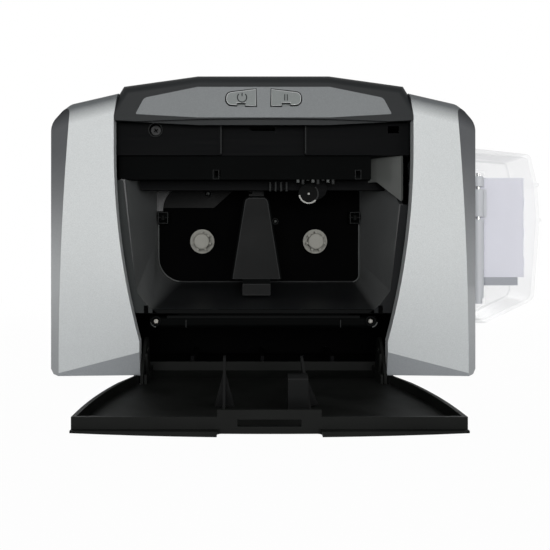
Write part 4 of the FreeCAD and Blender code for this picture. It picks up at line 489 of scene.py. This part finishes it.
# Single parts that differ from the rest of their slot
ownFinishes = {
    # the liner's side walls take painted light, paler than its floor
    "bay_liner": (trayWithPaintedWallLight, {
        "colour": (30, 31, 32), "wallColour": (102, 104, 104), "rough": 0.36, "play": 0.05, "mottle": 3,
        "shine": 0.3, "patch": 18, "grain": 2000, "grainHeight": 0.00005, "grainStrength": 0.3}),
    "inner_guard": (mouldedPlastic, {
        "colour": (86, 88, 86), "rough": 0.34, "play": 0.05, "mottle": 3, "shine": 0.4, "patch": 26,
        "grain": 2200, "grainHeight": 0.00004, "grainStrength": 0.25}),
    "drive_plate": (mouldedPlastic, {
        "colour": (6, 6, 7), "rough": 0.7, "play": 0.06, "mottle": 2, "shine": 0.02, "patch": 20,
        "grain": 1800, "grainHeight": 0.00006, "grainStrength": 0.3}),
    "front_door": (mouldedPlastic, {
        **coarseGrain, "colour": (22, 23, 22), "rough": 0.5, "play": 0.06, "mottle": 3, "shine": 0.07}),
    "front_cross_bar": (mouldedPlastic, {
        "colour": (10, 11, 11), "rough": 0.5, "play": 0.06, "mottle": 2, "shine": 0.015, "patch": 20,
        "grain": 2200, "grainHeight": 0.00005, "grainStrength": 0.3}),
    "base_pan": (mouldedPlastic, {
        "colour": (17, 17, 18), "rough": 0.6, "play": 0.06, "mottle": 2, "shine": 0.03, "patch": 20,
        "grain": 2000, "grainHeight": 0.00006, "grainStrength": 0.3}),
    "beam_screw_left": (drawnMetal, {
        **fineLines, "colour": (22, 23, 24), "rough": 0.4, "play": 0.05, "mottle": 4, "shine": 0.15}),
    "lower_crossbeam": (mouldedPlastic, {
        **coarseGrain, "colour": (12, 13, 13), "rough": 0.5, "play": 0.06, "mottle": 3, "shine": 0.012}),
    "hopper_frame": (postAndPane, {
        "colour": (198, 200, 204), "rough": 0.3, "play": 0.05, "shine": 0.15, "patch": 40, "haze": 0.1,
        "postEdge": 0.1562, "postFoot": 0.060, "postTop": 0.172, "grainHeight": 0.00003,
        "grainStrength": 0.1}),
    "card_lift_tray": (mouldedPlastic, {
        "colour": (152, 155, 162), "rough": 0.45, "play": 0.05, "mottle": 3, "shine": 0.1, "patch": 22,
        "grain": 2200, "grainHeight": 0.00004, "grainStrength": 0.2}),
    "cross_bar_pin_left": (drawnMetal, {
        **fineLines, "colour": (92, 90, 86), "metal": 1.0, "rough": 0.3, "play": 0.05, "mottle": 8}),
}
ownFinishes["cross_bar_pin_right"] = ownFinishes["cross_bar_pin_left"]


def dressParts():
    made = {slot: maker(slot, values) for slot, (maker, values) in finishes.items()}
    for row in frame["record"]["subparts"]:
        name = row["node"]
        mesh = parts[name].data
        mesh.materials.clear()
        if name in ownFinishes:
            maker, values = ownFinishes[name]
            made[name] = maker(name + "_finish", values)
            mesh.materials.append(made[name])
        else:
            mesh.materials.append(made[row["material_slot"]])
    return made


made = dressParts()
print("dressed the parts in", len(made), "finishes")

# Finishes of the small fittings below, which stand on the parts: colour and roughness
fittingFinishes = {
    # one black plastic in two tones of painted light, lighter on the left and darker on the right
    "flangeLeft": ((52, 54, 54), 0.4),
    "flangeRight": ((34, 35, 36), 0.4),
    # painted highlight, and a dimmer painted light, for lines along edges and rims and for small lit bits
    "edgeGrey": ((84, 86, 85), 0.35),
    "edgeDim": ((46, 47, 47), 0.4),
    "softBlack": ((15, 16, 16), 0.5),
    # painted shade for holes, slots, notches and gaps
    "deepBlack": ((3, 3, 4), 0.8),
    # painted glint on the pin tips, the idler's screw and its bright arc
    "worn": ((172, 172, 168), 0.3),
    # painted highlight for the buttons' bevels
    "rimSilver": ((188, 190, 190), 0.35),
}
fittingGrain = {
    "play": 0.05, "mottle": 2, "shine": 0.03, "patch": 40, "grain": 2200, "grainHeight": 0.00004,
    "grainStrength": 0.25,
}
for name, (colour, rough) in fittingFinishes.items():
    made[name] = mouldedPlastic(name, {**fittingGrain, "colour": colour, "rough": rough})


# The middle of the front, on the floor: the pieces below are placed from there
frontMiddle = np.array([
    (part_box("top_cap")[0].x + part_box("top_cap")[1].x) / 2,
    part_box("side_shell_left")[0].y,
    0.0,
])


def frontOf(part):
    # how far behind the front a part begins
    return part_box(part)[0].y - frontMiddle[1]


def newPiece(name, shape, body, slot, finish=None):
    points, faces = shape
    mesh = bpy.data.meshes.new(name)
    mesh.from_pydata((np.asarray(points) + frontMiddle).tolist(), [], faces)
    mesh.materials.append(made[finish or slot])
    piece = bpy.data.objects.new(name, mesh)
    bpy.context.scene.collection.objects.link(piece)
    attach(piece, body)
    return piece


def stripBetween(left, right, front, back, closed=False):
    # A strip that fills the space between two lines of (x, z) points, from y = front to y = back:
    # its section has four corners, and each pair of neighbouring sections is joined by four faces
    left, right = np.asarray(left, float), np.asarray(right, float)
    rims = np.stack([left, right, right, left], axis=1)
    depth = np.broadcast_to(np.array([front, front, back, back]), rims.shape[:2])
    points = np.stack([rims[:, :, 0], depth, rims[:, :, 1]], axis=2).reshape(-1, 3)
    count = len(left)
    here = np.arange(count if closed else count - 1)[:, None] * 4
    there = (here + 4) % (4 * count)
    around = np.arange(4)[None, :]
    after = (around + 1) % 4
    sides = np.stack([here + around, here + after, there + after, there + around], axis=2).reshape(-1, 4)
    if closed:
        return points, sides.tolist()
    last = 4 * (count - 1)
    return points, sides.tolist() + [[3, 2, 1, 0], [last, last + 1, last + 2, last + 3]]


def besideLine(line, closed=False):
    # unit steps to the left of a line's run, at each of its points
    line = np.asarray(line, float)
    run = np.roll(line, -1, axis=0) - np.roll(line, 1, axis=0) if closed else np.gradient(line, axis=0)
    run /= np.linalg.norm(run, axis=1)[:, None]
    return np.stack([-run[:, 1], run[:, 0]], axis=1)


def flatStroke(line, width, front, back, closed=False):
    # a strip of even width along a line: each point is moved half the width to either side of the run
    line = np.asarray(line, float)
    side = besideLine(line, closed) * width / 2
    return stripBetween(line + side, line - side, front, back, closed)


def ringFaces(rings, count, looped):
    # four-sided faces between neighbouring rings of points, and a lid on each open end
    here = np.arange(rings if looped else rings - 1)[:, None] * count
    there = (here + count) % (rings * count)
    around = np.arange(count)[None, :]
    after = (around + 1) % count
    sides = np.stack([here + around, there + around, there + after, here + after], axis=2)
    sides = sides.reshape(-1, 4).tolist()
    if looped:
        return sides
    return sides + [list(range(count)), list(range(rings * count - 1, (rings - 1) * count - 1, -1))]


def slab(outline, front, back, edge=0.0003):
    # A plate with the given (x, z) outline, counter-clockwise from the front, with its front edge
    # broken: the front ring is drawn in towards the middle by the edge
    outline = np.asarray(outline, float)
    count = len(outline)
    middle = (outline.min(axis=0) + outline.max(axis=0)) / 2
    reach = (outline.max(axis=0) - outline.min(axis=0)) / 2
    drawnIn = middle + (outline - middle) * (1 - edge / reach)
    rings = [(drawnIn, front), (outline, front + edge), (outline, back)]
    points = [np.stack([ring[:, 0], np.full(count, y), ring[:, 1]], axis=1) for ring, y in rings]
    return np.concatenate(points), ringFaces(len(rings), count, False)


def turned(profile, middle, steps=40, looped=False):
    # A turned piece on an axis along y: each (radius, y) of the profile goes once round the middle,
    # x = radius cos(turn), z = radius sin(turn)
    turn = np.linspace(0, 2 * math.pi, steps, endpoint=False)
    radius, depth = np.asarray(profile, float).T
    x = middle[0] + radius[:, None] * np.cos(turn)
    z = middle[1] + radius[:, None] * np.sin(turn)
    y = np.broadcast_to(depth[:, None], x.shape)
    return np.stack([x, y, z], axis=2).reshape(-1, 3), ringFaces(len(radius), steps, looped)


def collar(middle, radius, tube, front, steps=12):
    # a ring with a round section, laid flat on a face that looks forward
    around = np.linspace(0, 2 * math.pi, steps, endpoint=False)
    profile = np.stack([radius + tube * np.cos(around), front + tube * np.sin(around)], axis=1)
    return turned(profile, middle, looped=True)


# The rings of a round head: how many, and the least and the most share of its radius that its crown takes
headRings = {"count": 8, "first": 0.12, "steepest": 0.999}


def roundHead(middle, radius, front, back, crown):
    # a low round head: its crown is a quarter of an ellipse, from the middle out to the rim
    out = np.linspace(headRings["first"], 1, headRings["count"])
    rise = (1 - np.sqrt(1 - np.minimum(out, headRings["steepest"]) ** 2)) * radius * crown
    profile = np.concatenate([np.stack([radius * out, front + rise], axis=1), [(radius, back)]])
    return turned(profile, middle, 32)


def rectangle(x, z, wide, high):
    # the corners round a middle point, counter-clockwise from the front
    left, right, low, top = x - wide / 2, x + wide / 2, z - high / 2, z + high / 2
    return [(left, low), (right, low), (right, top), (left, top)]


def uprightPlate(x, wide, low, high):
    # the same corners, from a lower to an upper edge
    return rectangle(x, (low + high) / 2, wide, high - low)


def arcPoints(middle, radius, fromAngle, toAngle, count):
    # equal steps round a circle, angles in degrees from +x towards +z
    angle = np.radians(np.linspace(fromAngle, toAngle, count))
    return np.stack([middle[0] + radius * np.cos(angle), middle[1] + radius * np.sin(angle)], axis=1)


# Signs printed on the two buttons: power on the left, pause on the right
buttonSigns = {
    "thickness": 0.00012,
    "stroke": 0.00085,
    "ringRadius": 0.00365,
    "ringFrom": 132,
    "ringTo": 408,
    "ringSteps": 40,
    "powerAcross": -0.0171,
    "signHeight": 0.2302,
    "barTop": 0.0036,
    "barFoot": 0.0009,
    "pauseAcross": 0.01765,
    "pauseSpread": 0.00195,
    "pauseHalf": 0.0025,
}


def printSigns(values):
    front, height = frontOf("power_button"), values["signHeight"]
    across = values["powerAcross"]
    ring = arcPoints((across, height), values["ringRadius"], values["ringFrom"], values["ringTo"],
                     values["ringSteps"])
    bar = [(across, height + values["barTop"]), (across, height + values["barFoot"])]
    strokes = [("powerRing", ring, "power_button"), ("powerBar", bar, "power_button")]
    for name, side in (("pauseBarLeft", -0.5), ("pauseBarRight", 0.5)):
        x = values["pauseAcross"] + side * values["pauseSpread"]
        bar = [(x, height + values["pauseHalf"]), (x, height - values["pauseHalf"])]
        strokes.append((name, bar, "pause_button"))
    for name, line, body in strokes:
        shape = flatStroke(line, values["stroke"], front - values["thickness"], front)
        newPiece(name, shape, body, "charcoal_cap")


printSigns(buttonSigns)
print("signs are on the buttons")


# Which edges make the outline of a front face: how deep that face may lie, how squarely it looks
# forward, and how near two points may be
outlineEdges = {"depth": 0.0004, "forward": -0.9, "nearest": 0.00015}


def frontLoop(name, values):
    # the outline of a part's front face, as (x, z) points from the middle of the front:
    # the edges that only one of its foremost faces has, followed from end to end
    part = parts[name]
    mesh = part.data
    places = np.empty(3 * len(mesh.vertices))
    mesh.vertices.foreach_get("co", places)
    turn = np.array(part.matrix_world)
    places = places.reshape(-1, 3) @ turn[:3, :3].T + turn[:3, 3]
    keys = [tuple(place) for place in np.round(places - frontMiddle, 6)]
    foremost = places[:, 1] < places[:, 1].min() + values["depth"]
    follow = {}
    for polygon in mesh.polygons:
        corners = list(polygon.vertices)
        if all(foremost[corner] for corner in corners) and polygon.normal.y < values["forward"]:
            for here, there in zip(corners, corners[1:] + corners[:1]):
                here, there = keys[here], keys[there]
                if here in follow.get(there, ()):
                    follow[there].remove(here)
                else:
                    follow.setdefault(here, []).append(there)
    longest = []
    while any(follow.values()):
        place = next(start for start, ends in follow.items() if ends)
        loop = []
        while follow.get(place):
            loop.append(place)
            place = follow[place].pop()
        longest = max(longest, loop, key=len)
    line = np.array(longest)[:, [0, 2]]
    apart = np.linalg.norm(line - np.roll(line, 1, axis=0), axis=1) > values["nearest"]
    return line[apart]


def outlineStroke(part, inner, outer, front, back):
    # a thin frame along the outline of a part's front face
    line = frontLoop(part, outlineEdges)
    side = besideLine(line, True)
    return stripBetween(line + side * inner, line - side * outer, front, back, True)


# Painted highlight on the bevels of the two buttons, and painted shade in the gap round each
buttonRims = {"bevel": 0.0004, "lift": 0.00008, "play": 0.0004, "gap": 0.0010, "gapLift": 0.00006}


def rimButtons(values):
    inlay, gapLift = frontOf("control_inlay"), values["gapLift"]
    for part in ("power_button", "pause_button"):
        front, lift = frontOf(part), values["lift"]
        bevel = outlineStroke(part, values["bevel"], 0, front - lift, front + lift)
        newPiece(part + "_bevel", bevel, part, "button_grey", "rimSilver")
        gap = outlineStroke(part, -values["play"], values["gap"], inlay - gapLift, inlay + gapLift)
        newPiece(part + "_gap", gap, "chassis", "black_plastic", "deepBlack")


# Land that joins the bay's walls to the silver edge of the opening, in painted light: lighter on the left
# than on the right
bayLand = {
    "topHalf": 0.1188,
    "footHalf": 0.0985,
    "curveTop": 0.190,
    "curveFoot": 0.037,
    "behindLip": 0.0014,
    "wall": ((0.0880, 0.0585), (0.0955, 0.0640), (0.1050, 0.0760), (0.1157, 0.1667)),
    "rim": 0.0021,
    "front": 0.0127,
    "back": 0.0136,
    "leftTop": 0.1660,
    "rightTop": 0.1462,
    "steps": 40,
}


def openingHalf(values, z):
    # half the width of the opening: an arc that ends upright at the top of its curve
    spread = values["topHalf"] - values["footHalf"]
    climb = values["curveTop"] - values["curveFoot"]
    radius = (climb ** 2 + spread ** 2) / (2 * spread)
    return values["topHalf"] - radius + np.sqrt(radius ** 2 - (values["curveTop"] - z) ** 2)


def layBayLand(values):
    wall = np.array(values["wall"])
    for name, side, top in (("Left", -1, values["leftTop"]), ("Right", 1, values["rightTop"])):
        z = np.linspace(wall[0, 1], top, values["steps"])
        outer = openingHalf(values, z) + values["behindLip"]
        inner = np.interp(z, wall[:, 1], wall[:, 0]) - values["rim"]
        lines = [np.stack([side * half, z], axis=1) for half in (outer, inner)]
        if side > 0:
            lines.reverse()
        land = stripBetween(*lines, values["front"], values["back"])
        newPiece("bayLand" + name, land, "chassis", "black_plastic", "flange" + name)


# Foot under each hinge bracket, beside the door
bracketFoot = {
    "inner": 0.0986,
    "outer": 0.1035,
    "low": 0.0008,
    "toeHigh": 0.0093,
    "toeFront": 0.003,
    "heelHigh": 0.0124,
    "heelFront": 0.0142,
    "back": 0.040,
    "edge": 0.0008,
}


def standBracketFeet(values):
    # a low toe under the shell's edge, and a taller heel behind it
    wide, low = values["outer"] - values["inner"], values["low"]
    for name, side in (("Left", -1), ("Right", 1)):
        middle = side * (values["inner"] + values["outer"]) / 2
        for piece, high, front, back in (
            ("Toe", values["toeHigh"], values["toeFront"], values["heelFront"]),
            ("Heel", values["heelHigh"], values["heelFront"], values["back"]),
        ):
            foot = slab(uprightPlate(middle, wide, low, high), front, back, values["edge"])
            newPiece("bracket" + piece + name, foot, "chassis", "black_plastic", "softBlack")


# Small fittings inside the bay, in metres from the middle of the front, and degrees
bayFittings = {
    "landFloor": {"half": 0.0900, "low": 0.0580, "high": 0.0615, "front": 0.0127, "back": 0.0136},
    "backBead": {
        "left": -0.0957, "right": 0.0915, "floor": 0.0796, "leftRound": 0.0225, "rightRound": 0.0062,
        "leftEnd": 262, "rightEnd": 275, "leftSteps": 24, "rightSteps": 12, "floorBend": 0.004,
        "width": 0.0010, "front": 0.1094, "back": 0.1110, "top": 0.1330,
        "webLow": 0.1455, "webTop": 0.1740, "webFront": 0.1088},
    "ridge": {"across": 0.0342, "width": 0.0011, "low": 0.1872, "high": 0.2112, "front": 0.0122,
              "back": 0.0150, "edge": 0.0002},
    "notch": {"across": -0.0015, "height": 0.2088, "wide": 0.0188, "high": 0.0026, "front": 0.0170,
              "back": 0.0176, "edge": 0.0001},
    "beamScrew": {"across": -0.0872, "height": 0.2066, "ring": 0.0055, "tube": 0.0004, "front": 0.0128,
                  "slotHalf": 0.0021, "slotWidth": 0.0008, "slotFront": 0.01625, "slotBack": 0.0166,
                  "slotTurns": (35, 125)},
    "window": {"across": (-0.0385, 0.0775), "height": 0.1710, "wide": 0.0046, "high": 0.0072,
               "line": 0.0005, "front": 0.0182, "back": 0.0188},
    "barPin": {
        "across": 0.0866, "height": 0.0520, "collar": 0.0034, "tube": 0.0009, "front": 0.0120,
        "tip": 0.0009, "tipFront": 0.0112, "tipCrown": 0.8, "hook": 0.0047, "hookWidth": 0.0008,
        "hookFront": 0.0116, "hookBack": 0.0132, "hookShift": 0.0006, "hookTurns": ((190, 260), (280, 350)),
        "hookSteps": 14},
    "barLight": {"half": 0.0780, "height": 0.0553, "width": 0.0022, "front": 0.0124, "back": 0.0150},
    "barSeam": {"across": 0.0625, "low": 0.0468, "high": 0.0530, "width": 0.0006, "front": 0.0124,
                "back": 0.0140},
    "apron": {"half": 0.1000, "low": 0.0008, "high": 0.0095, "front": 0.0465, "back": 0.0480},
    "idler": {
        "middle": (0.0385, 0.1565), "disc": 0.0086, "discFront": 0.0349, "discCrown": 0.02,
        "front": 0.0345, "back": 0.0360, "screw": 0.0010, "screwFront": 0.0339, "screwBack": 0.0351,
        "screwCrown": 0.5, "arc": 0.0078, "arcWidth": 0.0011, "arcSteps": 30, "from": 188, "to": 318,
        "dimTo": 405},
    "plateScrews": {
        "places": (((-0.0496, 0.1621), 0.0034, 0.1085), ((0.0134, 0.1361), 0.0026, 0.1105)),
        "tube": 0.0004, "headShare": 0.5, "headDepth": 0.0008, "crown": 0.5},
    "comb": {"first": 0.0285, "step": 0.0041, "count": 8, "top": 0.1676, "reach": 0.0030, "sway": 0.0016,
             "swayTurn": 2.1, "wide": 0.0023, "front": 0.0192, "back": 0.0215, "edge": 0.0004,
             "brightEvery": 3},
    "levers": {"first": 0.0062, "step": 0.0046, "count": 4, "low": 0.1585, "high": 0.1665,
               "wide": 0.0016, "front": 0.0340, "back": 0.0360},
    "clip": {"height": 0.1390, "left": -0.0907, "right": 0.0865, "wide": 0.0086, "high": 0.0100,
             "line": 0.0007, "front": 0.1000, "back": 0.1012, "latchWide": 0.0036,
             "latchHigh": 0.0052, "latchFront": 0.0996, "latchEdge": 0.0005},
    "edges": {"widths": {"print_head_tower": 0.0008, "tower_clip": 0.0006}, "lift": 0.00012,
              "sink": 0.0001},
    "floorSlot": {"across": 0.0948, "height": 0.0612, "wide": 0.0034, "high": 0.0068, "front": 0.0121,
                  "back": 0.0127, "edge": 0.0001},
}


def fitting(name, shape, finish, slot="black_plastic"):
    # a piece that stands still with the body
    return newPiece(name, shape, "chassis", slot, finish)


def fitMechanism(values):
    # the idler: a dark disc with a painted glint on its screw, and an arc of painted highlight round its
    # rim, bright and then dim
    idler = values["idler"]
    middle, front, back = idler["middle"], idler["front"], idler["back"]
    disc = roundHead(middle, idler["disc"], idler["discFront"], back, idler["discCrown"])
    fitting("idlerDisc", disc, "softBlack")
    screw = roundHead(middle, idler["screw"], idler["screwFront"], idler["screwBack"], idler["screwCrown"])
    fitting("idlerScrew", screw, "worn", "bright_steel")
    for name, fromAngle, toAngle, finish in (
        ("Bright", idler["from"], idler["to"], "worn"),
        ("Dim", idler["to"], idler["dimTo"], "edgeDim"),
    ):
        line = arcPoints(middle, idler["arc"], fromAngle, toAngle, idler["arcSteps"])
        fitting("idlerArc" + name, flatStroke(line, idler["arcWidth"], front, back), finish)
    # screws on the plates: a ring and a head in painted highlight
    screws = values["plateScrews"]
    for index, (middle, radius, front) in enumerate(screws["places"]):
        ring = collar(middle, radius, screws["tube"], front + screws["tube"])
        fitting("plateScrewRing%d" % index, ring, "edgeDim")
        head = roundHead(middle, radius * screws["headShare"], front, front + screws["headDepth"],
                         screws["crown"])
        fitting("plateScrew%d" % index, head, "edgeGrey", "bright_steel")
    comb = values["comb"]
    for index in range(comb["count"]):
        # the teeth grow longer and shorter along the row, as the sine of their number
        reach = comb["reach"] + comb["sway"] * math.sin(comb["swayTurn"] * index)
        across = comb["first"] + index * comb["step"]
        outline = rectangle(across, comb["top"] - reach / 2, comb["wide"], reach)
        tooth = slab(outline, comb["front"], comb["back"], comb["edge"])
        # the teeth are in dim painted light, every third one lighter as a painted highlight
        fitting("combTooth%d" % index, tooth, "edgeDim" if index % comb["brightEvery"] else "edgeGrey")
    levers = values["levers"]
    for index in range(levers["count"]):
        outline = uprightPlate(levers["first"] + index * levers["step"], levers["wide"], levers["low"],
                               levers["high"])
        # the levers are in dim painted light
        fitting("lever%d" % index, slab(outline, levers["front"], levers["back"]), "edgeDim")
    clip = values["clip"]
    for side in ("left", "right"):
        outline = rectangle(clip[side], clip["height"], clip["wide"], clip["high"])
        # a frame of painted highlight round each clip's edge
        rim = flatStroke(outline, clip["line"], clip["front"], clip["back"], True)
        fitting("clipFrame_" + side, rim, "edgeDim")
        outline = rectangle(clip[side], clip["height"], clip["latchWide"], clip["latchHigh"])
        latch = slab(outline, clip["latchFront"], clip["back"], clip["latchEdge"])
        fitting("clipLatch_" + side, latch, "softBlack")
    edges = values["edges"]
    for part, width in edges["widths"].items():
        front = frontOf(part)
        # lines of painted highlight along the outlines of the tower and its clip
        edge = outlineStroke(part, width, 0, front - edges["lift"], front + edges["sink"])
        fitting(part + "_edge", edge, "edgeDim")


def fitBackEdgeHighlight(backRim):
    # painted highlight round the back edge of the bay: two uprights with round corners, joined along the
    # floor
    leftMiddle = (backRim["left"] + backRim["leftRound"], backRim["floor"] + backRim["leftRound"])
    rightMiddle = (backRim["right"] - backRim["rightRound"], backRim["floor"] + backRim["rightRound"])
    leftArc = arcPoints(leftMiddle, backRim["leftRound"], 180, backRim["leftEnd"], backRim["leftSteps"])
    rightArc = arcPoints(rightMiddle, backRim["rightRound"], backRim["rightEnd"], 360, backRim["rightSteps"])
    lines = (
        ("Left", np.concatenate([[(backRim["left"], backRim["top"])], leftArc]), "edgeGrey"),
        ("Right", np.concatenate([rightArc, [(backRim["right"], backRim["top"])]]), "edgeGrey"),
        ("Floor", [leftArc[-1], (leftMiddle[0] + backRim["floorBend"], backRim["floor"]), rightArc[0]], "edgeDim"),
    )
    web = [(backRim["left"], backRim["webLow"]), (backRim["left"], backRim["webTop"])]
    fitting("webBead", flatStroke(web, backRim["width"], backRim["webFront"], backRim["back"]), "edgeGrey")
    for name, line, finish in lines:
        fitting("backBead" + name, flatStroke(line, backRim["width"], backRim["front"], backRim["back"]), finish)


def fitPin(name, side, pin):
    # one pin of the cross bar: its collar, a painted glint on its tip and an arc of painted highlight beside
    # it
    middle = (side * pin["across"], pin["height"])
    fitting("pinCollar" + name, collar(middle, pin["collar"], pin["tube"], pin["front"]), "softBlack")
    tip = roundHead(middle, pin["tip"], pin["tipFront"], pin["front"], pin["tipCrown"])
    fitting("pinTip" + name, tip, "worn", "bright_steel")
    turns = pin["hookTurns"][side > 0]
    line = arcPoints((middle[0] + pin["hookShift"], middle[1]), pin["hook"], *turns, pin["hookSteps"])
    hook = flatStroke(line, pin["hookWidth"], pin["hookFront"], pin["hookBack"])
    fitting("pinHook" + name, hook, "edgeGrey")


def fitBay(values):
    land = values["landFloor"]
    outline = uprightPlate(0, 2 * land["half"], land["low"], land["high"])
    fitting("bayLandFloor", slab(outline, land["front"], land["back"]), "softBlack")
    fitBackEdgeHighlight(values["backBead"])
    for name, side in (("Left", -1), ("Right", 1)):
        ridge = values["ridge"]
        outline = uprightPlate(side * ridge["across"], ridge["width"], ridge["low"], ridge["high"])
        # the ridges are in dim painted light, as lit edges
        shape = slab(outline, ridge["front"], ridge["back"], ridge["edge"])
        fitting("beamRidge" + name, shape, "edgeDim")
        fitPin(name, side, values["barPin"])
        seam = values["barSeam"]
        line = [(side * seam["across"], seam["high"]), (side * seam["across"], seam["low"])]
        # a line of painted highlight along each seam of the bar
        fitting("barSeam" + name, flatStroke(line, seam["width"], seam["front"], seam["back"]), "edgeDim")
        slot = values["floorSlot"]
        outline = rectangle(side * slot["across"], slot["height"], slot["wide"], slot["high"])
        # each slot is a flat plate of painted shade
        shape = slab(outline, slot["front"], slot["back"], slot["edge"])
        fitting("floorSlot" + name, shape, "deepBlack")
    # a dark sheet under the door's back edge: painted shade, where the floor behind lies in shadow
    apron = values["apron"]
    outline = uprightPlate(0, 2 * apron["half"], apron["low"], apron["high"])
    fitting("panApron", slab(outline, apron["front"], apron["back"]), "softBlack")
    fitMechanism(values)
    notch = values["notch"]
    outline = rectangle(notch["across"], notch["height"], notch["wide"], notch["high"])
    # the notch is a flat plate of painted shade
    fitting("beamNotch", slab(outline, notch["front"], notch["back"], notch["edge"]), "deepBlack")
    screw = values["beamScrew"]
    middle = np.array([screw["across"], screw["height"]])
    # a ring of painted highlight round the screw's well, and its slots as strips of painted shade
    fitting("screwWellRing", collar(middle, screw["ring"], screw["tube"], screw["front"]), "edgeDim")
    for name, turn in zip(("One", "Two"), np.radians(screw["slotTurns"])):
        reach = screw["slotHalf"] * np.array([math.cos(turn), math.sin(turn)])
        slot = flatStroke([middle - reach, middle + reach], screw["slotWidth"], screw["slotFront"],
                          screw["slotBack"])
        fitting("screwSlot" + name, slot, "deepBlack")
    window = values["window"]
    for name, across in zip(("Left", "Right"), window["across"]):
        outline = rectangle(across, window["height"], window["wide"], window["high"])
        shape = flatStroke(outline, window["line"], window["front"], window["back"], True)
        # frames of painted highlight round the windows
        fitting("windowFrame" + name, shape, "edgeDim")
    # a strip of painted highlight along the top of the cross bar
    light = values["barLight"]
    line = [(-light["half"], light["height"]), (light["half"], light["height"])]
    fitting("barLight", flatStroke(line, light["width"], light["front"], light["back"]), "softBlack")


rimButtons(buttonRims)
layBayLand(bayLand)
standBracketFeet(bracketFoot)
print("button rims, bay lands and bracket feet are on")
fitBay(bayFittings)
print("the bay has its fittings")
